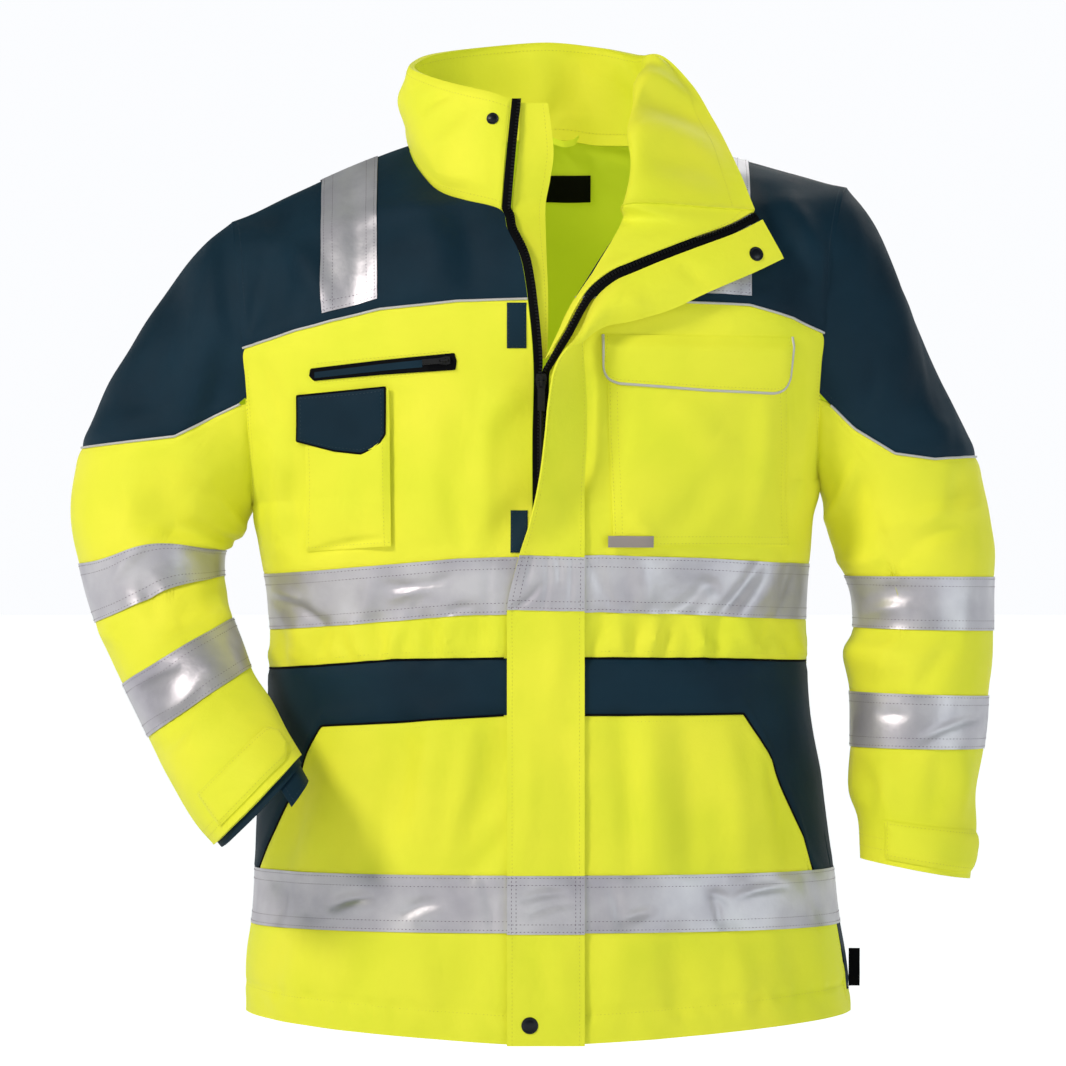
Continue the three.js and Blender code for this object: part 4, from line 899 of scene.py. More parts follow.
def shell(name, grids, thickness, material, slot, base=0.0, inside=None):
    """A closed wall over one or more grids of points and normals, its outer face at base."""
    places, ways, coords, quads = [], [], [], []
    count, wide, long = 0, 0.0, 0.0
    for p, n in grids:
        rows, cols = p.shape[:2]
        u, v = lengths(p, 1), lengths(p, 0)
        wide, long = wide + u.max() * MM, max(long, v.max() * MM)
        at = np.arange(rows * cols).reshape(rows, cols) + count
        count += rows * cols
        places.append(p.reshape(-1, 3))
        ways.append(n.reshape(-1, 3))
        coords.append(np.stack([u, v], -1).reshape(-1, 2) * MM)
        quads.append(np.stack([at[:-1, :-1], at[:-1, 1:], at[1:, 1:], at[1:, :-1]], -1).reshape(-1, 4))
    places, ways = np.concatenate(places), np.concatenate(ways)
    coords, quads = np.concatenate(coords), np.concatenate(quads)
    keys, index = np.unique(np.round(places * 50).astype(np.int64), axis=0, return_inverse=True)
    index = index.reshape(-1)
    total = np.zeros((len(keys), 3))
    weight = np.bincount(index, minlength=len(keys))[:, None]
    np.add.at(total, index, ways)
    normal = unit(total)
    middle = np.zeros((len(keys), 3))
    np.add.at(middle, index, places)
    middle /= weight
    welded = index[quads]
    good = np.array([len(set(q)) == 4 for q in welded.tolist()])
    welded, quads = welded[good], quads[good]
    a, b, c = middle[welded[:, 0]], middle[welded[:, 1]], middle[welded[:, 2]]
    facing = np.sum(np.cross(b - a, c - a) * normal[welded[:, 0]], axis=1)
    if np.sum(facing > 0) < len(facing) / 2:
        welded, quads = welded[:, ::-1], quads[:, ::-1]
    size = len(middle)
    outer = middle + normal * base
    inner = middle + normal * (base - thickness)
    edges = np.stack([welded, np.roll(welded, -1, axis=1)], -1).reshape(-1, 2)
    marks = np.stack([quads, np.roll(quads, -1, axis=1)], -1).reshape(-1, 2)
    code, back = edges[:, 0] * size + edges[:, 1], edges[:, 1] * size + edges[:, 0]
    rim = ~np.isin(code, back)
    e, m = edges[rim], marks[rim]
    wall = np.stack([e[:, 1], e[:, 0], e[:, 0] + size, e[:, 1] + size], -1)
    wall_marks = np.stack([m[:, 1], m[:, 0], m[:, 0], m[:, 1]], -1)
    faces = np.concatenate([welded, welded[:, ::-1] + size, wall])
    uvs = coords[np.concatenate([quads, quads[:, ::-1], wall_marks])].reshape(-1, 2)
    obj = mesh_object(name, np.concatenate([outer, inner]), faces, uvs, material, slot)
    if inside:
        obj.data.materials.append(inside)
        marks = np.zeros(len(faces), np.int32)
        marks[len(welded):2 * len(welded)] = 1
        obj.data.polygons.foreach_set("material_index", marks)
    area = 0.5 * np.linalg.norm(np.cross(middle[welded[:, 2]] - middle[welded[:, 0]],
                                         middle[welded[:, 3]] - middle[welded[:, 1]]), axis=1).sum()
    FLAT[name] = (round(wide + 0.0005, 4), round(long + 0.0005, 4), round(area * 1e-6, 6))
    return obj


def sewn(name, grids, thickness, material, slot, **how):
    """A shell that takes the place of the solid of its name."""
    PIECES[name] = shell(name, grids, thickness, material, slot, **how)
    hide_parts(name)


# Materials
def linear(r, g, b):
    """A screen colour of 0 to 255 as linear light."""
    out = []
    for v in (r, g, b):
        v /= 255
        out.append(v / 12.92 if v <= 0.04045 else ((v + 0.055) / 1.055) ** 2.4)
    return (*out, 1.0)


def new_material(name, colour, roughness, metallic=0.0, sheen=0.0, glow=0.0, gloss=0.4):
    material = bpy.data.materials.new(name)
    material.use_nodes = True
    nodes = material.node_tree.nodes
    shader = nodes["Principled BSDF"]
    shader.inputs["Base Color"].default_value = colour
    shader.inputs["Roughness"].default_value = roughness
    shader.inputs["Metallic"].default_value = metallic
    shader.inputs["Sheen Weight"].default_value = sheen
    shader.inputs["Sheen Roughness"].default_value = 0.5
    shader.inputs["Specular IOR Level"].default_value = gloss
    shader.inputs["Emission Color"].default_value = colour
    shader.inputs["Emission Strength"].default_value = glow
    return material, shader


def add_tint(material, shader, low, high, scale, detail=3.0):
    """A soft change of colour over the surface."""
    nodes, links = material.node_tree.nodes, material.node_tree.links
    place = nodes.new("ShaderNodeTexCoord")
    noise = nodes.new("ShaderNodeTexNoise")
    noise.inputs["Scale"].default_value = scale
    noise.inputs["Detail"].default_value = detail
    ramp = nodes.new("ShaderNodeValToRGB")
    ramp.color_ramp.elements[0].position = 0.3
    ramp.color_ramp.elements[1].position = 0.7
    ramp.color_ramp.elements[0].color = low
    ramp.color_ramp.elements[1].color = high
    links.new(place.outputs["Object"], noise.inputs["Vector"])
    links.new(noise.outputs["Fac"], ramp.inputs["Fac"])
    links.new(ramp.outputs["Color"], shader.inputs["Base Color"])


def add_weave(material, shader, pitch, strength, soft=0.25, soft_scale=60.0):
    """A plain weave of the pitch in metres, with a little crumple under it."""
    nodes, links = material.node_tree.nodes, material.node_tree.links
    place = nodes.new("ShaderNodeTexCoord")
    waves = []
    for axis in ("X", "Y"):
        wave = nodes.new("ShaderNodeTexWave")
        wave.bands_direction = axis
        wave.inputs["Scale"].default_value = 0.314 / pitch
        wave.inputs["Distortion"].default_value = 0.4
        links.new(place.outputs["UV"], wave.inputs["Vector"])
        waves.append(wave)
    both = nodes.new("ShaderNodeMath")
    both.operation = "MULTIPLY"
    links.new(waves[0].outputs["Fac"], both.inputs[0])
    links.new(waves[1].outputs["Fac"], both.inputs[1])
    fine = nodes.new("ShaderNodeBump")
    fine.inputs["Strength"].default_value = strength
    fine.inputs["Distance"].default_value = 0.0003
    links.new(both.outputs["Value"], fine.inputs["Height"])
    noise = nodes.new("ShaderNodeTexNoise")
    noise.inputs["Scale"].default_value = soft_scale
    noise.inputs["Detail"].default_value = 4.0
    links.new(place.outputs["Object"], noise.inputs["Vector"])
    crumple = nodes.new("ShaderNodeBump")
    crumple.inputs["Strength"].default_value = soft
    crumple.inputs["Distance"].default_value = 0.0016
    links.new(noise.outputs["Fac"], crumple.inputs["Height"])
    links.new(fine.outputs["Normal"], crumple.inputs["Normal"])
    links.new(crumple.outputs["Normal"], shader.inputs["Normal"])


def cloth_material(name, low, high, roughness, sheen, glow, pitch=0.0007, soft=0.25, gloss=0.2):
    material, shader = new_material(name, high, roughness, 0.0, sheen, glow, gloss)
    add_tint(material, shader, low, high, 9.0)
    add_weave(material, shader, pitch, 0.35, soft)
    return material


def hard_material(name, colour, roughness, metallic, pitch, strength, soft, soft_scale=60.0, gloss=0.4):
    material, shader = new_material(name, colour, roughness, metallic, gloss=gloss)
    add_weave(material, shader, pitch, strength, soft, soft_scale)
    return material


def thread_material(name, colour, low, high, roughness=0.7, sheen=0.0, glow=0.0, gloss=0.4):
    material, shader = new_material(name, colour, roughness, 0.0, sheen, glow, gloss)
    add_tint(material, shader, low, high, 300.0)
    return material


# The hi-vis cloth, the lining and the yellow thread glow a little in their own colour: painted light that
# lifts their shade, most on the lining
YELLOW = cloth_material(
    "hi_vis_yellow", linear(222, 227, 50), linear(236, 233, 60), 0.6, 0.06, 0.06, soft=0.45)
LINING = cloth_material("lining_yellow", linear(206, 222, 44), linear(216, 228, 52), 0.8, 0.2, 0.16)
NAVY = cloth_material("navy_shell", linear(10, 34, 48), linear(18, 46, 62), 0.6, 0.0, 0.0, gloss=0.12)
BLACK_CLOTH = cloth_material(
    "black_zip_tape", linear(5, 5, 7), linear(12, 12, 15), 0.8, 0.0, 0.0, pitch=0.0005, gloss=0.08)
BLACK_HARD = hard_material("black_moulded", linear(8, 8, 10), 0.4, 0.0, 0.004, 0.0, 0.12, 400.0, gloss=0.3)
SNAP = hard_material("snap_enamel", linear(14, 18, 26), 0.3, 0.35, 0.004, 0.0, 0.08, 300.0)
PIPING = hard_material("grey_piping", linear(190, 188, 186), 0.45, 0.1, 0.0012, 0.4, 0.1)
BADGE = hard_material("badge_grey", linear(150, 140, 136), 0.5, 0.1, 0.001, 0.3, 0.15)
THREAD_YELLOW = thread_material(
    "thread_yellow", linear(206, 204, 44), linear(196, 196, 40), linear(220, 214, 60), sheen=0.2, glow=0.05)
THREAD_GREY = thread_material(
    "thread_grey", linear(110, 96, 112), linear(92, 80, 96), linear(130, 116, 130), gloss=0.2)
THREAD_NAVY = thread_material(
    "thread_navy", linear(24, 44, 60), linear(18, 36, 50), linear(34, 56, 74), roughness=0.6)


def tape_material():
    """Silver tape with fine glass beads, a soft crinkle and faint rub marks."""
    material, shader = new_material("reflective_silver", linear(188, 185, 194), 0.43, 0.55)
    nodes, links = material.node_tree.nodes, material.node_tree.links
    add_tint(material, shader, linear(172, 169, 179), linear(200, 198, 204), 22.0, 5.0)
    place = nodes.new("ShaderNodeTexCoord")
    beads = nodes.new("ShaderNodeTexVoronoi")
    beads.inputs["Scale"].default_value = 2600.0
    links.new(place.outputs["Object"], beads.inputs["Vector"])
    bump = nodes.new("ShaderNodeBump")
    bump.inputs["Strength"].default_value = 0.15
    bump.inputs["Distance"].default_value = 0.0001
    links.new(beads.outputs["Distance"], bump.inputs["Height"])
    crinkle = nodes.new("ShaderNodeTexNoise")
    crinkle.inputs["Scale"].default_value = 70.0
    crinkle.inputs["Detail"].default_value = 5.0
    links.new(place.outputs["Object"], crinkle.inputs["Vector"])
    second = nodes.new("ShaderNodeBump")
    second.inputs["Strength"].default_value = 0.3
    second.inputs["Distance"].default_value = 0.002
    links.new(crinkle.outputs["Fac"], second.inputs["Height"])
    links.new(bump.outputs["Normal"], second.inputs["Normal"])
    links.new(second.outputs["Normal"], shader.inputs["Normal"])
    return material


SILVER = tape_material()


# Stitches, each a slim closed bead of thread
STITCH_PITCH, STITCH_LENGTH, STITCH_RADIUS = 3.4, 2.4, 0.32


class Thread:
    def __init__(self, name, material):
        self.name, self.material = name, material
        self.verts, self.faces = [], []
        self.count = 0

    def row(self, p, n, lift=0.0):
        s = lengths(p[None], 1)[0]
        if s[-1] < STITCH_PITCH:
            return
        total, mid = spaced(s, STITCH_PITCH)
        up = unit(along(mid, s, n))
        a, b = along(mid - STITCH_LENGTH / 2, s, p), along(mid + STITCH_LENGTH / 2, s, p)
        side = unit(np.cross(unit(b - a), up))
        centre = (a + b) / 2 + up * (lift + STITCH_RADIUS * 0.4)
        ends = up * (lift - STITCH_RADIUS * 0.3)
        ring = [centre + way * STITCH_RADIUS for way in (side, up, -side, -up)]
        self.verts.append(np.stack([a + ends, *ring, b + ends], 1).reshape(-1, 3))
        cell = []
        for k in range(4):
            cell += [[0, 1 + k, 1 + (k + 1) % 4], [5, 1 + (k + 1) % 4, 1 + k]]
        cell = np.array(cell)
        self.faces.append((cell[None] + (np.arange(total) * 6)[:, None, None] + self.count).reshape(-1, 3))
        self.count += total * 6

    def finish(self, slot):
        verts, faces = np.concatenate(self.verts), np.concatenate(self.faces)
        mesh_object(self.name, verts, faces, None, self.material, slot, sharp=80)


def cord_tube(name, paths, radius, material, slot, lift=0.0):
    """Round piping along one or more paths of points and normals."""
    verts, faces, count, sides = [], [], 0, 8
    for p, n in paths:
        ahead = unit(np.gradient(p, axis=0))
        side = unit(np.cross(ahead, n))
        up = np.cross(side, ahead)
        angle = np.arange(sides) * 2 * np.pi / sides
        ring = np.cos(angle)[None, :, None] * side[:, None] + np.sin(angle)[None, :, None] * up[:, None]
        verts.append((p[:, None] + n[:, None] * lift + ring * radius).reshape(-1, 3))
        at = np.arange(len(p) * sides).reshape(len(p), sides) + count
        nxt = np.roll(at, -1, axis=1)
        faces += np.stack([at[:-1], nxt[:-1], nxt[1:], at[1:]], -1).reshape(-1, 4).tolist()
        faces += [at[0][::-1].tolist(), at[-1].tolist()]
        count += len(p) * sides
    mesh_object(name, np.concatenate(verts), faces, None, material, slot)


yellow_thread = Thread("stitches_yellow", THREAD_YELLOW)
grey_thread = Thread("stitches_tape", THREAD_GREY)
navy_thread = Thread("stitches_navy", THREAD_NAVY)


def count_of(n):
    return max(3, int(round(n * DETAIL)))


def seam_dip(d):
    """Padded cloth drawn down at a seam, and full beside it."""
    return -1.2 * np.exp(-((d / 3.2) ** 2)) + 0.6 * np.exp(-(((d - 11) / 7) ** 2))


def dipped(p, n, foot=False, head=False, last=None):
    """Draws a grid's chosen edges down as seams: foot and head rows, and the last column by a share."""
    s, t = lengths(p, 0), lengths(p, 1)
    rise = 0
    for wanted, away in ((foot, s), (head, s[-1:] - s)):
        if wanted:
            rise = rise + seam_dip(away)
    if last is not None:
        rise = rise + last * seam_dip(t[:, -1:] - t)
    return p + n * np.asarray(rise)[..., None] if np.ndim(rise) else p


PANEL_COLUMNS = 74


def column_ways(low, high, rows):
    """Ways of a grid from low to high; a kink of the neckline keeps a row of its own."""
    if np.all(high >= NECK_WAY) and np.all(low < NECK_WAY) and np.max(high) > NECK_WAY + 0.1:
        first = int(rows * 0.62)
        below = np.linspace(0, 1, first + 1)[:, None]
        above = np.linspace(0, 1, rows - first + 1)[1:, None]
        return np.concatenate([mix(low[None], NECK_WAY, below), mix(NECK_WAY, high[None], above)])
    return mix(low[None], high[None], np.linspace(0, 1, rows + 1)[:, None])


def panel_grid(side, face, low, high, rows, **edges):
    across = np.linspace(0, 1, count_of(PANEL_COLUMNS) + 1)
    ends = []
    for end in (low, high):
        seam = isinstance(end, list)
        ends.append(way_of(side, face, across, end) if seam else np.full_like(across, end))
    ways = column_ways(ends[0], ends[1], count_of(rows))
    p, n = panel(side, face, across[None], ways)
    return dipped(p, n, last=1 - smoothstep(ways, 0.96, 1.0), **edges), n


def front_piece(stem, side, low, high, rows, material, slot, **edges):
    grid = panel_grid(side, FRONT, low, high, rows, **edges)
    sewn(f"{stem}_{side}", [grid], WALL, material, slot, inside=LINING)


for side in SIDES:
    mouth = POCKET_MOUTHS[side]
    front_piece("skirt", side, 0.0, mouth, 70, YELLOW, "hi_vis_cloth", head=True)
    front_piece("hip", side, mouth, HIP_TOP, 30, NAVY, "navy_cloth", foot=True, head=True)
    front_piece("chest_front", side, HIP_TOP, YOKE_FRONT, 80, YELLOW, "hi_vis_cloth", foot=True, head=True)
    front_piece("yoke_front", side, YOKE_FRONT, 2.0, 54, NAVY, "navy_cloth", foot=True, head=True)


def back_piece(name, low, high, rows, material, slot, **edges):
    grids = [panel_grid(side, BACK, low, high, rows, **edges) for side in SIDES]
    sewn(name, grids, WALL, material, slot, inside=LINING)


back_piece("back", 0.0, YOKE_BACK, 150, YELLOW, "hi_vis_cloth", head=True)
back_piece("yoke_back", YOKE_BACK, 2.0, 60, NAVY, "navy_cloth", foot=True, head=True)

# Sleeves
TURN = 2 * np.pi
ARCHED = {"sleeve_tape_upper_right": 0.5}
STITCH_SHARES = (0.06, 0.18, 0.82, 0.94)


def sleeve_piece(name, side, low, high, rows, material, slot, **edges):
    angle = np.linspace(0, TURN, count_of(110) + 1)
    ends = []
    for end in (low, high):
        ends.append(ring_of(side, angle, end) if isinstance(end, list) else np.full_like(angle, end))
    rings = mix(ends[0][None], ends[1][None], np.linspace(0, 1, count_of(rows) + 1)[:, None])
    p, n = sleeve(side, rings, angle[None])
    sewn(name, [(dipped(p, n, **edges), n)], WALL, material, slot, inside=LINING)


def silver_tape(name, grids):
    sewn(name, grids, TAPE_CLOTH, SILVER, "reflective_tape", base=LIFT + TAPE_CLOTH)


def tape_stitches(p, n, columns=()):
    """The four lines of sewing along a tape, and the ones across it."""
    for row in shares_of(p, STITCH_SHARES):
        grey_thread.row(p[row], n[row], LIFT + TAPE_CLOTH)
    for col in columns:
        grey_thread.row(p[:, col], n[:, col], LIFT + TAPE_CLOTH)


for side in SIDES:
    seam, last = CAP_SEAMS[side], float(LAST_RING[side])
    sleeve_piece("sleeve_cap_" + side, side, 0.0, seam, 64, NAVY, "navy_cloth", head=True)
    sleeve_piece("sleeve_" + side, side, seam, last, 100, YELLOW, "hi_vis_cloth", foot=True)
    for name, (low, high) in (("upper", UPPER_TAPE[side]), ("lower", LOWER_TAPE[side])):
        full = f"sleeve_tape_{name}_{side}"
        angle = np.linspace(0, TURN, count_of(150) + 1)[None]
        bend = ARCHED.get(full, 0.0) * np.exp(-(((np.degrees(angle) - 106) / 34) ** 2))
        v = np.linspace(0, 1, count_of(20) + 1)[:, None]
        p, n = sleeve(side, mix(low - bend, high - 0.3 * bend, v), angle, tape=True)
        silver_tape(full, [(p, n)])
        tape_stitches(p, n)


# Tapes round the body
def band_grid(side, face, top):
    across = np.linspace(0, 1, count_of(110) + 1)
    high = way_of(side, face, across, top)
    low = way_of(side, face, across, [[x, z - TAPE_WIDTH] for x, z in top])
    ways = mix(low[None], high[None], np.linspace(0, 1, count_of(20) + 1)[:, None])
    return panel(side, face, across[None], ways, tape=True)


for stem, top in (("waist_tape", WAIST_TOP), ("hem_tape", HEM_TOP)):
    for side in SIDES:
        p, n = band_grid(side, FRONT, top)
        silver_tape(f"{stem}_{side}", [(p, n)])
        tape_stitches(p, n)
    grids = [band_grid(side, BACK, top) for side in SIDES]
    silver_tape(f"{stem}_back", grids)
    for p, n in grids:
        tape_stitches(p, n)


# Tapes over the shoulders
def shoulder_grid(side, face):
    outer, inner = SHOULDER_TAPES[(side, face)]
    shares = np.linspace(0, 1, count_of(20) + 1)
    foot_x = mix(outer[1], inner[1], shares)
    foot_z = mix(outer[2], inner[2], shares)
    _, foot_way = locate(side, face, foot_x, foot_z)
    ways = mix(foot_way[None], 2.0, np.linspace(0, 1, count_of(70) + 1)[:, None])

    def inside(across):
        p = panel_point(side, face, across, ways)
        rise = (p[..., 2] - foot_z[None]) / (60 - foot_z[None])
        wanted = mix(foot_x[None], mix(outer[0], inner[0], shares)[None], rise)
        return p[..., 0] * SIGNS[side] < wanted * SIGNS[side]

    return panel(side, face, halved(np.zeros_like(ways), np.ones_like(ways), inside), ways, tape=True)


for side, face in SHOULDER_TAPES:
    p, n = shoulder_grid(side, face)
    p = p + n * 0.3
    silver_tape(f"shoulder_tape_{'front' if face < 0 else 'back'}_{side}", [(p, n)])
    tape_stitches(np.swapaxes(p, 0, 1), np.swapaxes(n, 0, 1), columns=(1, 4))


# What is sewn flat on a panel: a top and a bottom edge of x, z
def patch_grid(side, face, top, bottom, cols, rows):
    count = count_of(cols) + 1
    a, b = finer(bottom, count), finer(top, count)
    v = np.linspace(0, 1, count_of(rows) + 1)[:, None, None]
    place = mix(a[None], b[None], v)
    across, way = locate(side, face, place[..., 0], place[..., 1])
    return panel(side, face, across, way, tape=True)


def edge_profile(p, reach):
    """Rises from 0 at the edges of a grid to 1 further in."""
    s, t = lengths(p, 0), lengths(p, 1)
    near = np.minimum(np.minimum(s, s[-1:] - s), np.minimum(t, t[:, -1:] - t))
    return np.sin(np.clip(near / reach, 0, 1) * np.pi / 2)


def patch(name, side, top, bottom, cols, rows, base, thick, material, slot,
          puff=0.0, reach=20.0, extra=None):
    p, n = patch_grid(side, FRONT, top, bottom, cols, rows)
    rise = puff * edge_profile(p, reach) - 0.5 * (1 - edge_profile(p, 2.5))
    if extra is not None:
        u = np.linspace(0, 1, p.shape[1])[None]
        v = np.linspace(0, 1, p.shape[0])[:, None]
        rise = rise + extra(u, v)
    p = p + n * rise[..., None]
    sewn(name, [(p, n)], thick, material, slot, base=base + thick)
    return p + n * (base + thick), n


def frame_rows(p, n, thread, k, sides="lbr"):
    """Stitch rows along a patch's edges, k cells in from them."""
    if "l" in sides:
        thread.row(p[:, k], n[:, k])
    if "r" in sides:
        thread.row(p[:, -1 - k], n[:, -1 - k])
    if "b" in sides:
        thread.row(p[k], n[k])
    if "t" in sides:
        thread.row(p[-1 - k], n[-1 - k])


# Patch pocket with a gusset on its right edge as seen, its navy flap, and the zip pocket above
p, n = patch(
    "patch_pocket", "right", [[-208, -222], [-133, -217]], [[-206, -361], [-131, -356]], 44, 78, LIFT, 1.6,
    YELLOW, "hi_vis_cloth", puff=1.2, reach=14,
    extra=lambda u, v: (4.2 * smoothstep(u, 0.55, 0.97) * mix(0.75, 1, np.sin(np.pi * v))
                        + 0.6 * np.sin(v * 9) * np.sin(u * 6)),
)
frame_rows(p, n, yellow_thread, 2, "lb")
frame_rows(p, n, yellow_thread, 3, "r")
p, n = patch(
    "patch_pocket_flap", "right", [[-214, -224], [-136, -217]],
    [[-214, -263], [-181, -272], [-157, -275], [-146, -271], [-140, -266], [-136, -258]], 46, 34, 2.3, 1.6,
    NAVY, "navy_cloth", puff=1.4, reach=12, extra=lambda u, v: 3.4 * smoothstep(u, 0.5, 0.98) * (1 - 0.3 * v),
)
frame_rows(p, n, navy_thread, 2, "lbrt")
binding = np.concatenate([p[:, 0], p[-1, 1:], p[::-1, -1][1:], p[0, ::-1][1:]])
binding_n = np.concatenate([n[:, 0], n[-1, 1:], n[::-1, -1][1:], n[0, ::-1][1:]])
cord_tube("pocket_flap_binding", [(binding, binding_n)], 1.1, BLACK_CLOTH, "black_trim", lift=-0.5)
patch(
    "zip_pocket_welt", "right",
    [[-204, -206], [-203, -200], [-140, -193], [-76, -187], [-74, -194]],
    [[-204, -206.5], [-200, -211], [-140, -206], [-75, -202], [-74, -194.5]], 60, 10, LIFT, 1.2,
    BLACK_CLOTH, "black_trim",
)
coil = patch_grid(
    "right", FRONT, [[-199, -203.2], [-140, -196.5], [-104, -193]],
    [[-199, -208.5], [-140, -202.5], [-104, -199.5]], 60, 6)
PIECES["zip_pocket_coil"] = shell("zip_pocket_coil", [coil], 0.5, NAVY, "navy_cloth", base=LIFT + 1.2 + 0.4)
welt_line = patch_grid("right", FRONT, [[-198, -202], [-80, -192]], [[-198, -202.6], [-80, -192.6]], 60, 3)
yellow_thread.row(welt_line[0][0] + np.array([0, -1.5, 7]), welt_line[1][0])
yellow_thread.row(welt_line[0][0] + np.array([0, -1.5, -10]), welt_line[1][0])

# Hook pads on the right edge
for name, top, bottom in (
    ("hook_pad_upper", [[-30, -143], [-13, -143]], [[-30, -183], [-13, -183]]),
    ("hook_pad_lower", [[-27, -325], [-12, -325]], [[-27, -362], [-12, -362]]),
):
    p, n = patch(name, "right", top, bottom, 10, 22, LIFT, 1.0, NAVY, "navy_cloth")
    frame_rows(p, n, navy_thread, 1, "lbrt")

# Chest pocket on the wearer's left with its flap, piping and bare badge
p, n = patch(
    "chest_pocket_left", "left", [[57, -176], [218, -176]], [[63, -356], [217, -356]], 80, 90, LIFT, 1.6,
    YELLOW, "hi_vis_cloth", puff=2.4, reach=30,
    extra=lambda u, v: 0.8 * np.sin(v * 7 + 1) * np.sin(u * 5 + 0.4),
)
frame_rows(p, n, yellow_thread, 1, "lbr")
frame_rows(p, n, yellow_thread, 4, "lbr")
FLAP_FOOT = [[54.5, -199], [55.5, -205], [59, -210.5], [67, -214], [143, -219], [204, -221], [211, -219],
             [215.5, -214], [218, -207]]
p, n = patch(
    "chest_flap_left", "left", [[54, -171], [221, -172]], FLAP_FOOT, 84, 26, 2.3, 1.6,
    YELLOW, "hi_vis_cloth", puff=1.6, reach=14,
    extra=lambda u, v: 1.4 + 0.6 * np.sin(u * 7) - 3.4 * smoothstep(v, 0.72, 1),
)
frame_rows(p, n, yellow_thread, 2, "lbr")
flap_outline = np.concatenate([p[::-1, 0], p[0], p[:, -1]])
flap_normals = np.concatenate([n[::-1, 0], n[0], n[:, -1]])
cord_tube("chest_flap_piping", [(smoother(flap_outline, 2), flap_normals)], 1.3, PIPING, "reflective_tape")
patch("badge", "left", [[58, -347], [97, -347]], [[58, -357], [97, -357]], 26, 8, 4.9, 0.8,
      BADGE, "reflective_tape")

# Piping along the yoke and cap seams
paths = []
for side in SIDES:
    across = np.linspace(0, 1, count_of(90))
    way = way_of(side, FRONT, across, YOKE_FRONT)
    p, n = panel(side, FRONT, across, way)
    paths.append((p, n))
    for start in (0, np.pi):
        angle = np.linspace(start + 0.04, start + np.pi - 0.04, count_of(120))
        ring = ring_of(side, angle, CAP_SEAMS[side])
        crossing = ring > 0.03
        p, n = sleeve(side, ring[crossing], angle[crossing])
        paths.append((p, n))
half = np.linspace(0, 1, count_of(90))
back_line = []
for side in SIDES:
    p, n = panel(side, BACK, half, way_of(side, BACK, half, YOKE_BACK))
    back_line.append((p, n))
paths.append((np.concatenate([back_line[0][0][::-1], back_line[1][0][1:]]),
              np.concatenate([back_line[0][1][::-1], back_line[1][1][1:]])))
cord_tube("seam_piping", paths, 1.15, PIPING, "reflective_tape", lift=-0.1)

# Dark binding along the hip bands
paths = []
for side in SIDES:
    across = np.linspace(0.06, 1, count_of(110))
    for line in (HIP_TOP, POCKET_MOUTHS[side]):
        paths.append(panel(side, FRONT, across, way_of(side, FRONT, across, line)))
cord_tube("hip_binding", paths, 1.0, BLACK_CLOTH, "black_trim", lift=-0.7)

# Armhole seams, drawn down between the body and the sleeve
low_paths, high_paths = [], []
for side in SIDES:
    for face in (FRONT, BACK):
        way = np.linspace(1, 2, count_of(110))
        p = outer_point(side, face, way)
        _, body_n = panel(side, face, np.full_like(way, 0.99), way)
        turn = np.pi * (2 - way) if face < 0 else TURN - np.pi * (2 - way)
        _, arm_n = sleeve(side, np.full_like(way, 0.1), turn)
        n = unit(body_n + arm_n)
        high = np.flatnonzero(p[:, 2] > height_of(CAP_SEAMS[side], p[:, 0]))[0]
        low_paths.append((p[:high + 1], n[:high + 1]))
        high_paths.append((p[high:], n[high:]))
cord_tube("armhole_seam_low", low_paths, 1.9, YELLOW, "hi_vis_cloth", lift=-1.7)
cord_tube("armhole_seam_high", high_paths, 1.9, NAVY, "navy_cloth", lift=-1.7)

# Topstitching beside the seams
for side in SIDES:
    across = np.linspace(0.01, 0.985, 120)
    for dz in (-7, 7):
        line = [[x, z + dz] for x, z in YOKE_FRONT]
        p, n = panel(side, FRONT, across, way_of(side, FRONT, across, line))
        (navy_thread if dz > 0 else yellow_thread).row(p, n)
        line = [[x, z + dz] for x, z in YOKE_BACK]
        p, n = panel(side, BACK, across, way_of(side, BACK, across, line))
        (navy_thread if dz > 0 else yellow_thread).row(p, n)
    for dz in (-6, -11):
        line = [[x, z + dz] for x, z in POCKET_MOUTHS[side]]
        p, n = panel(side, FRONT, across, way_of(side, FRONT, across, line))
        yellow_thread.row(p, n)
    line = [[x, z + 6] for x, z in HIP_TOP]
    p, n = panel(side, FRONT, across, way_of(side, FRONT, across, line))
    yellow_thread.row(p, n)
    for face in (FRONT, BACK):
        across = np.linspace(0.0, 1, 120)
        p, n = panel(side, face, across, np.full_like(across, 0.052))
        yellow_thread.row(p, n)
        way = np.linspace(0.02, 1.98, 260)
        p, n = panel(side, face, np.full_like(way, 0.972), way)
        yellow_thread.row(p[way < 1.5], n[way < 1.5])
        navy_thread.row(p[way > 1.6], n[way > 1.6])
    angle = np.linspace(0, TURN, 200)
    for back_off in (0.35, 0.62):
        p, n = sleeve(side, np.full_like(angle, LAST_RING[side] - back_off), angle)
        yellow_thread.row(p, n)
    for shift in (-7, 7):
        line = [[x, z + shift] for x, z in CAP_SEAMS[side]]
        p, n = sleeve(side, ring_of(side, angle, line), angle)
        (navy_thread if shift > 0 else yellow_thread).row(p, n)


# Collar: its columns, and the width of one and the height from seam to edge that its folds are drawn on
LAST_COLUMN, COLUMN_WIDTH, COLLAR_HEIGHT = 16, 25, 95


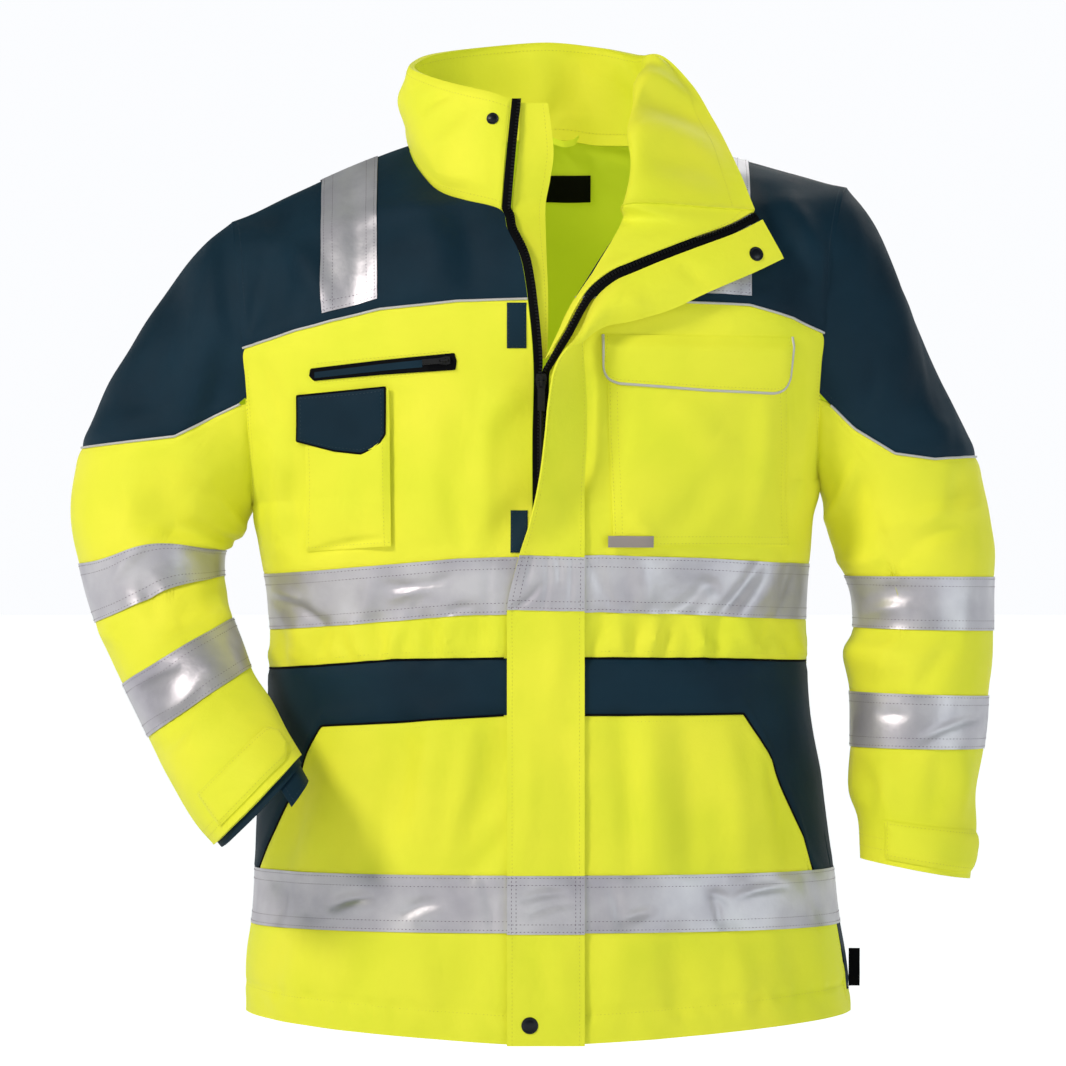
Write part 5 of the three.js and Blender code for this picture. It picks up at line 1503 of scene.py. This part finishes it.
def catmull(points, t):
    """The centripetal curve through three points, as the solids use."""
    a, b, c = points
    t = np.asarray(t, float)[..., None] * 2
    first = t <= 1

    def piece(p0, p1, p2, p3, w):
        d0, d1, d2 = (np.maximum(np.sum((q - p) ** 2, -1, keepdims=True) ** 0.25, 1e-4)
                      for p, q in ((p0, p1), (p1, p2), (p2, p3)))
        t1 = ((p1 - p0) / d0 - (p2 - p0) / (d0 + d1) + (p2 - p1) / d1) * d1
        t2 = ((p2 - p1) / d1 - (p3 - p1) / (d1 + d2) + (p3 - p2) / d2) * d1
        return p1 + t1 * w + (-3 * p1 + 3 * p2 - 2 * t1 - t2) * w**2 + (2 * p1 - 2 * p2 + t1 + t2) * w**3

    low = piece(2 * a - b, a, b, c, np.clip(t, 0, 1))
    high = piece(a, b, c, 2 * c - b, np.clip(t - 1, 0, 1))
    return np.where(first, low, high)


def collar_point(column, up):
    column, up = np.broadcast_arrays(np.asarray(column, float), np.asarray(up, float))
    c = look(COLLAR, column)
    way = np.clip(c[..., 1], NECK_WAY, 2)
    seam = np.zeros(column.shape + (3,))
    for side, face, mask in (
        ("right", FRONT, column <= 5),
        ("right", BACK, (column > 5) & (column < 8)),
        ("left", BACK, (column >= 8) & (column < 11)),
        ("left", FRONT, column >= 11),
    ):
        if mask.any():
            seam[mask] = inner_point(side, face, way[mask])
    middle = c[..., 2:5]
    base = seam + unit(middle - seam) * 1.2
    return catmull((base, middle, c[..., 5:8]), up)


def lifted(x, z, lift):
    return stack(x, front_y(x, z) - lift, z)


def bowed(a, b, lift, across):
    middle = (a + b) / 2
    middle = stack(middle[..., 0], front_y(middle[..., 0], middle[..., 2]) - lift, middle[..., 2])
    control = 2 * middle - (a + b) / 2
    t = across[..., None]
    return (1 - t) ** 2 * a + 2 * t * (1 - t) * control + t**2 * b


def zip_line(row, aside):
    row = np.asarray(row, float)
    here = look(LAPEL, row)
    low = look(LAPEL, np.maximum(row - 0.5, 0))
    high = look(LAPEL, np.minimum(row + 0.5, LAPEL_STEPS))
    dx, dz = high[..., 3] - low[..., 3], high[..., 4] - low[..., 4]
    size = np.hypot(dx, dz)
    return lifted(here[..., 3] - dz / size * aside, here[..., 4] + dx / size * aside, here[..., 7])


columns = np.linspace(0, LAST_COLUMN, count_of(220) + 1)
ups = np.linspace(0, 1, count_of(38) + 1)[:, None]
p = collar_point(columns[None], ups)
n = towards(normals_of(p), (0, 1, 0))
flat_x, flat_z = columns[None] * COLUMN_WIDTH, ups * COLLAR_HEIGHT
rise = creased(flat_x, flat_z, COLLAR_CREASES, 2.4) + ripple(flat_x, flat_z, 2.0)
rise = rise * smoothstep(ups, 0, 0.12) * (1 - smoothstep(ups, 0.86, 1)) * smoothstep(columns[None], 0, 0.5)
collar_p = p + n * rise[..., None]
COLLAR_EDGE_WAY = n[:, -1][np.linspace(0, len(ups) - 1, count_of(46) + 1).round().astype(int)]
# The collar's last corner reaches over to the end of the zip, and the turned-out front with it
TO_ZIP = zip_line(0.0, -ZIP_HALF - 0.9) - collar_p[-1, -1] + n[-1, -1] * (COLLAR_CLOTH - 0.6)
reach = smoothstep(columns[None], 13.2, LAST_COLUMN) * smoothstep(ups, 0.25, 1)
collar_p = collar_p + TO_ZIP * reach[..., None]
edge = np.minimum((1 - ups) * COLLAR_HEIGHT, flat_x)
edge = np.minimum(edge, (LAST_COLUMN - columns[None]) * COLUMN_WIDTH)
soft_edge = 1.3 * (1 - np.sin(np.clip(edge / 4.5, 0, 1) * np.pi / 2))
p = collar_p - n * soft_edge[..., None]
at_back = smoothstep(columns, 4.5, 6) * (1 - smoothstep(columns, 10, 11.5))
p[0] -= (2.4 + 4 * at_back)[:, None] * unit(p[2] - p[0]) + (1.2 + 2 * at_back)[:, None] * n[0]
sewn("collar", [(p, n)], COLLAR_CLOTH - 0.4, YELLOW, "hi_vis_cloth", base=-0.1)
for row in shares_of(p, (0.06, 0.93)):
    yellow_thread.row(collar_p[row], n[row])
    yellow_thread.row(collar_p[row], -n[row], COLLAR_CLOTH)


# Turned-out left front
rows = np.linspace(0, LAPEL_STEPS, count_of(90) + 1)
t = look(LAPEL, rows)
roll = lifted(t[:, 1], t[:, 2], t[:, 5])
zip_edge = zip_line(rows, -ZIP_HALF - 0.9)
u = np.linspace(0, 1, count_of(46) + 1)
p = np.stack([bowed(roll, zip_edge, t[:, 6], np.full_like(rows, a)) for a in u], axis=1)
n = towards(normals_of(p), (0, -1, 0))
rise = 0.8 * ripple(p[..., 0], p[..., 2], 1.5) * np.sin(np.pi * u)[None]
p = p + n * rise[..., None]
join_u = np.linspace(0, 1, count_of(46) + 1)
join = collar_point(LAST_COLUMN + 0 * join_u, join_u) - COLLAR_EDGE_WAY * (COLLAR_CLOTH - 0.6)
join = join + TO_ZIP * smoothstep(join_u, 0.25, 1)[:, None]
hold = np.exp(-(rows / 0.55) ** 2)[:, None, None]
facing_p = p + (join[None] - p[:1]) * hold
n = towards(normals_of(facing_p), (0, -1, 0))
sewn("facing_left", [(facing_p, n)], FLAP_CLOTH, YELLOW, "hi_vis_cloth")
yellow_thread.row(facing_p[:, -3], n[:, -3])

# Storm flap
FLAP_CREASES = [
    [-8, -205, 22, -330, 10, -1.8, 4],
    [14, -420, 8, -500, 12, 1.6, 3],
    [20, -520, 26, -640, 12, -1.6, 3],
    [-12, -520, -16, -630, 10, 1.6, 3],
    [-18, -700, 4, -740, 10, -1.4, 3],
    [14, -700, 18, -780, 12, 1.4, 3],
    [-9, -366, -13, -388, 2.6, -1.9, 1],
    [-2, -392, -26, -412, 3, -1.9, 2],
    [5, -368, 2, -410, 2.6, -1.7, 2],
    [14, -366, 16, -388, 2.6, -1.5, 1],
    [27, -366, 24, -412, 2.2, -1.4, 1],
    [-14, -664, 20, -660, 4, -1.2, 2],
    [-8, -676, 24, -668, 4, -1.0, 2],
    [120, -112, 140, -124, 8, 1.4, 2],
    [70, -140, 90, -150, 9, -1.6, 2],
]


def flap_grid(start, stop, cols, rows):
    at = np.linspace(start, stop, count_of(rows) + 1)
    t = look(FLAP, at)
    base = lifted(t[:, 1], t[:, 2], t[:, 5])
    edge = lifted(t[:, 3], t[:, 4], t[:, 7])
    u = np.linspace(0, 1, count_of(cols) + 1)
    p = np.stack([bowed(base, edge, t[:, 6], np.full_like(at, a)) for a in u], axis=1)
    n = towards(normals_of(p), (0, -1, 0))
    x, z = p[..., 0], p[..., 2]
    rise = creased(x, z, FLAP_CREASES, 1.6) + ripple(x, z, 0.9)
    rise = rise * smoothstep(u, 0, 0.12)[None] * smoothstep(1 - u, 0, 0.12)[None]
    return p + n * rise[..., None], n


p, n = flap_grid(0, 24, 30, 300)
sewn("storm_flap", [(p, n)], FLAP_CLOTH, YELLOW, "hi_vis_cloth")
for col in (2, -3):
    yellow_thread.row(p[:, col], n[:, col])
for name, start, stop, rows in (("flap_tape_waist", 14, 16, 24), ("flap_tape_hem", 21, 22, 24)):
    p, n = flap_grid(start, stop, 34, rows)
    silver_tape(name, [(p, n)])
    tape_stitches(p, n, columns=(2, -3, -6) if name == "flap_tape_waist" else (2, 4, -3, -5))


# Zips: the woven tape and a row of teeth on each side
TOOTH_PITCH = 3.0


def teeth(name, path, normal, aside_dir):
    """Small moulded teeth along a path."""
    s = lengths(path[None], 1)[0]
    total, mid = spaced(s, TOOTH_PITCH)
    at = along(mid, s, path)
    up = unit(along(mid, s, normal))
    ahead = unit(along(mid + 0.5, s, path) - at + 1e-9)
    side = np.cross(ahead, up) * aside_dir
    verts = []
    for da, ds, du in ((-0.9, -2, -0.6), (0.9, -2, -0.6), (0.6, 1.2, -0.5), (-0.6, 1.2, -0.5),
                       (-0.9, -2, 0.7), (0.9, -2, 0.7), (0.6, 1.2, 0.6), (-0.6, 1.2, 0.6)):
        verts.append(at + ahead * da + side * ds + up * du)
    verts = np.stack(verts, 1).reshape(-1, 3)
    cell = np.array([[0, 1, 2, 3], [7, 6, 5, 4], [0, 4, 5, 1], [1, 5, 6, 2], [2, 6, 7, 3], [3, 7, 4, 0]])
    faces = (cell[None] + (np.arange(total) * 8)[:, None, None]).reshape(-1, 4)
    mesh_object(name, verts, faces, None, BLACK_HARD, "black_trim", sharp=30)


def moved(p, dx):
    return p + np.array([dx, 0.0, 0.0])


def ribbon(name, first, second, thick, base, cols, material, slot, crown=0.0):
    """A narrow strip between two lines, arched by its crown."""
    u = np.linspace(0, 1, cols)
    p = mix(first[:, None], second[:, None], u[None, :, None])
    n = towards(normals_of(p), (0, -1, 0))
    p = p + n * (crown * np.sin(np.pi * u))[None, :, None]
    sewn(name, [(p, n)], thick, material, slot, base=base)
    return p, n


def zip_tape(side, first, second):
    count = count_of(240)
    first, second = finer(first, count), finer(second, count)
    return ribbon("zip_tape_" + side, first, second, ZIP_CLOTH, -0.4, 5, BLACK_CLOTH, "black_trim")


ways = np.linspace(0, NECK_WAY - 0.02, 160)
body_edge = inner_point("right", FRONT, ways)
collar_edge = moved(collar_point(0 * np.arange(6.0), np.arange(6) * 0.2), 0.8)
path = np.concatenate([body_edge, collar_edge])
wide = 7.3 + 1.2 * (path[:, 2] > -200)
first, second = moved(path, 0.4), path + np.stack([wide, 0 * wide, 0 * wide], -1)
p, n = zip_tape("right", first, second)
teeth("zip_teeth_right", p[:, 3] + n[:, 3] * 0.2, n[:, 3], -1)

ways = np.linspace(0, 1.25, 110)
closed = inner_point("left", FRONT, ways)
closed[-1, 1] -= 2.6
turned_rows = np.arange(LAPEL_STEPS - 0.5, -0.01, -0.5)
first = np.concatenate([moved(closed, -7.3), zip_line(turned_rows, -ZIP_HALF + 0.7)])
second = np.concatenate([moved(closed, -0.4), zip_line(turned_rows, ZIP_HALF - 0.5)])
p, n = zip_tape("left", first, second)
teeth("zip_teeth_left", p[:, 1] + n[:, 1] * 0.2, n[:, 1], 1)

ways = np.linspace(0.0, 1.2, 200)
middle = (inner_point("right", FRONT, ways) + inner_point("left", FRONT, ways)) / 2
forwards = np.zeros_like(middle) + (0.0, -1.0, 0.0)
cord_tube("zip_coil", [(middle, forwards)], 1.6, BLACK_HARD, "black_trim", lift=0.3)

guard = look(GUARD, np.linspace(-192, 36, count_of(80)))
first = stack(guard[:, 1], guard[:, 3], guard[:, 0])
second = stack(guard[:, 2], guard[:, 3] + guard[:, 4], guard[:, 0])
p, n = ribbon("zip_guard", first, second, 2.0, 0.0, 12, YELLOW, "hi_vis_cloth", crown=0.3)
yellow_thread.row(p[:, -3], n[:, -3])


# Cuffs
STRAP_CLOTH = 1.6


def cuff_strap(side, low, high, start, stop, rows, narrowed):
    """A padded strap round a cuff, narrowed at its free end."""
    angle = np.radians(np.linspace(start, stop, count_of(50) + 1))[None]
    v = np.linspace(0, 1, count_of(rows) + 1)[:, None]
    u = np.linspace(0, 1, count_of(50) + 1)[None]
    squeeze = 1 - narrowed * smoothstep(u, 0.8, 1) ** 2
    ring = mix(low, high, 0.5 + (v - 0.5) * squeeze)
    p, n = sleeve(side, ring, angle + 0 * ring, tape=True)
    rise = 2.4 * edge_profile(p, 8) - 0.4 * (1 - edge_profile(p, 2.5))
    p = p + n * rise[..., None]
    sewn("cuff_strap_" + side, [(p, n)], STRAP_CLOTH, YELLOW, "hi_vis_cloth", base=LIFT + STRAP_CLOTH)
    frame_rows(p + n * (LIFT + STRAP_CLOTH), n, yellow_thread, 2, "lbrt")


cuff_strap("right", 13.4, 14.72, 48, 154, 22, 0.55)
cuff_strap("left", 14.86, 15.86, 126, 8, 20, 0.5)


def beyond(ring, angle):
    """Points of the right sleeve, carried straight on past its last ring."""
    ring, angle = np.broadcast_arrays(np.asarray(ring, float), np.asarray(angle, float))
    last = LAST_RING["right"]
    end = sleeve_point("right", np.full(ring.shape, last), angle)
    before = sleeve_point("right", np.full(ring.shape, last - 1), angle)
    past = end + unit(end - before) * ((ring - last) * 25)[..., None]
    return np.where((ring <= last)[..., None], sleeve_point("right", np.minimum(ring, last), angle), past)


def cuff_sheet(name, start, stop, first, last, cols, rows, outer, inner, crown):
    angle = np.radians(np.linspace(first, last, count_of(cols) + 1))[None]
    ring = np.linspace(start, stop, count_of(rows) + 1)[:, None]
    p = beyond(ring, angle)
    centre = (beyond(ring, 0 * angle) + beyond(ring, 0 * angle + np.pi)) / 2
    n = outward(normals_of(p), p, centre)
    rise = sleeve_rise("right", np.minimum(ring, 15) + 0 * angle, angle + 0 * ring, p)
    p = p + n * (rise + crown * ripple(angle * 60, ring * 25, 1.0))[..., None]
    sewn(name, [(p, n)], outer - inner, NAVY, "navy_cloth", base=outer)
    return p + n * outer, n


cuff_sheet("cuff_lining_right", 14.3, 15.28, 0, 360, 90, 14, -CLOTH - 0.9, -CLOTH - 2.2, 0.4)
p, n = cuff_sheet("cuff_tab_right", 14.5, 16.05, 120, 195, 26, 20, -CLOTH - 2.9, -CLOTH - 4.2, 0.3)
frame_rows(p, n, navy_thread, 2, "lbrt")


# Small pieces
line = smoother(finer([[8, 55, 15], [12, 51, 11], [21, 48, 8], [30, 51, 10], [34, 54.5, 14]], 40), 6)
p = line[:, None] + np.array([0, 0.6, 2.94]) * np.linspace(-1, 1, 7)[None, :, None]
sewn("hanger_loop", [(p, normals_of(p))], 1.2, LINING, "hi_vis_cloth", base=0.6)
p, n = patch_grid("left", BACK, [[3, -16], [46, -16]], [[3, -39], [46, -39]], 30, 18)
sewn("size_label", [(p, n)], 0.8, BLACK_CLOTH, "black_trim", base=-CLOTH - 0.5)
tag_u = np.linspace(0, 1, 12)[None]
tag_v = np.linspace(0, 1, 24)[:, None]
p = stack(276.8 + 10 * tag_u, -0.7 + 0.8 * np.sin(tag_v * 4 + tag_u * 2), -752 + 34 * tag_v)
n = towards(normals_of(p), (0, -1, 0))
sewn("side_tag", [(p, n)], 1.2, BLACK_CLOTH, "black_trim", base=0.4)

yellow_thread.finish("hi_vis_cloth")
grey_thread.finish("reflective_tape")
navy_thread.finish("navy_cloth")

# Snaps: a domed cap in a rolled ring, set on the cloth where it lies
def on_front(base, x, z):
    """The place and normal where the front of a piece lies at x, z."""
    found, place, normal, _ = base.ray_cast((x * MM, -1.0, z * MM), (0, 1, 0))
    return (np.array(place) / MM, np.array(normal)) if found else (None, None)


def snap(name, base, x, z, radius):
    place, normal = on_front(base, x, z)
    first = unit(np.cross(normal, (0, 0, 1)))
    second = np.cross(normal, first)
    outline = [(1.0, -1.2), (1.0, 0.35), (0.97, 0.75), (0.88, 1.0), (0.78, 0.9), (0.72, 0.6), (0.66, 0.62),
               (0.55, 0.95), (0.38, 1.2), (0.2, 1.32)]
    turn = np.arange(36) * TURN / 36
    verts = [place + normal * h + radius * r * (np.cos(t) * first + np.sin(t) * second)
             for r, h in outline for t in turn]
    faces = [[i * 36 + j, i * 36 + (j + 1) % 36, (i + 1) * 36 + (j + 1) % 36, (i + 1) * 36 + j]
             for i in range(len(outline) - 1) for j in range(36)]
    faces.append([(len(outline) - 1) * 36 + j for j in range(36)])
    faces.append(list(range(35, -1, -1)))
    obj = mesh_object(name + "_cap", verts, faces, None, SNAP, "snap_metal", sharp=40)
    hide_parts(name)


bpy.context.view_layer.update()
snap("snap_collar", PIECES["collar"], -43, 21.7, 5.4)
snap("snap_flap_tip", PIECES["storm_flap"], 189.2, -99.3, 6.6)
snap("snap_hem", PIECES["storm_flap"], -10, -774, 7.4)

# A short dark strip where the storm flap leaves the zip: painted shade, a dark sheet standing in for the
# shadow line there, under the piece name hook_strip
shade_strip_p, shade_strip_n = np.zeros((16, 5, 3)), np.zeros((16, 5, 3))
for i, t in enumerate(np.linspace(0, 1, 16)):
    for j, u in enumerate(np.linspace(0, 1, 5)):
        x = mix(29.5, 40.0, t) + u * mix(3.4, 6.4, t)
        z = mix(-187.0, -152.0, t) - u * 2.2
        for base in ("storm_flap", "facing_left"):
            place, normal = on_front(PIECES[base], x, z)
            if place is not None:
                break
        shade_strip_p[i, j], shade_strip_n[i, j] = place, normal
shade_strip_n = unit(shade_strip_n.mean(axis=(0, 1)) + 0 * shade_strip_n)
PIECES["hook_strip"] = shell("hook_strip", [(shade_strip_p, shade_strip_n)], 0.9, BLACK_CLOTH, "black_trim", base=1.1)

# Each sheet's flat length, held to what its area allows; nothing uses it further
for name, (wide, long, area) in FLAT.items():
    long = min(long, area / (0.32 * wide))

# Hard pieces keep their solids and get their finish
for name in ("zip_slider", "zip_pull", "pocket_zip_slider", "pocket_zip_pull"):
    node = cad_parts[name]
    node.data.materials.clear()
    node.data.materials.append(BLACK_HARD)

# Floor, light and camera
def plain_floor():
    material, shader = new_material("pale_floor", (0.9, 0.9, 0.9, 1.0), 0.9)
    nodes, links = material.node_tree.nodes, material.node_tree.links
    place = nodes.new("ShaderNodeTexCoord")
    away = nodes.new("ShaderNodeVectorMath")
    away.operation = "LENGTH"
    spread = nodes.new("ShaderNodeMapRange")
    for socket, value in (("From Min", 2.6), ("From Max", 4.8), ("To Min", 0.08), ("To Max", 0.84)):
        spread.inputs[socket].default_value = value
    shader.inputs["Emission Color"].default_value = (1, 1, 1, 1)
    links.new(place.outputs["Object"], away.inputs[0])
    links.new(away.outputs["Value"], spread.inputs["Value"])
    links.new(spread.outputs["Result"], shader.inputs["Emission Strength"])
    mesh = bpy.data.meshes.new("floor")
    corners = [(-60, -60, -1.25), (60, -60, -1.25), (60, 60, -1.25), (-60, 60, -1.25)]
    mesh.from_pydata(corners, [], [(0, 1, 2, 3)])
    mesh.materials.append(material)
    link(bpy.data.objects.new("floor", mesh))


def area_light(name, place, target, size, power, colour):
    data = bpy.data.lights.new(name, "AREA")
    data.shape = "DISK"
    data.size = size
    data.energy = power
    data.color = colour
    obj = link(bpy.data.objects.new(name, data))
    obj.location = place
    away = np.array(place, float) - np.array(target, float)
    obj.rotation_euler = Vector(away).to_track_quat("Z", "Y").to_euler()


plain_floor()
area_light("key", (-3.3, -3.0, 2.8), (0, 0, -0.35), 1.3, 165, (1.0, 0.93, 0.85))
area_light("fill", (3.4, -3.0, 0.4), (0, 0, -0.35), 2.6, 30, (0.88, 0.98, 0.96))
area_light("rear", (1.6, 3.6, 2.6), (0, 0, -0.4), 2.2, 70, (1.0, 0.97, 0.93))

scene = bpy.context.scene
world = bpy.data.worlds.new("studio")
world.use_nodes = True
sky_nodes, sky_links = world.node_tree.nodes, world.node_tree.links
direction = sky_nodes.new("ShaderNodeTexCoord")
parts = sky_nodes.new("ShaderNodeSeparateXYZ")
sky = sky_nodes.new("ShaderNodeValToRGB")
sky.color_ramp.elements[0].position = 0.0
sky.color_ramp.elements[0].color = (0.97, 0.98, 1.0, 1.0)
sky.color_ramp.elements[1].position = 0.3
sky.color_ramp.elements[1].color = (0.13, 0.17, 0.17, 1.0)
holding = sky.color_ramp.elements.new(0.13)
holding.color = (0.97, 0.98, 1.0, 1.0)
sky_links.new(direction.outputs["Generated"], parts.inputs["Vector"])
sky_links.new(parts.outputs["Z"], sky.inputs["Fac"])
sky_links.new(sky.outputs["Color"], sky_nodes["Background"].inputs["Color"])
scene.world = world
scene.view_settings.view_transform = "Standard"

camera_data = bpy.data.cameras.new("camera")
camera_data.lens = 200
camera_data.sensor_width = 36
camera_data.clip_end = 200
camera = link(bpy.data.objects.new("camera", camera_data))
camera.location = (-0.0072, -5.33, -0.3447)
camera.rotation_euler = (math.radians(90), 0, 0)
scene.camera = camera
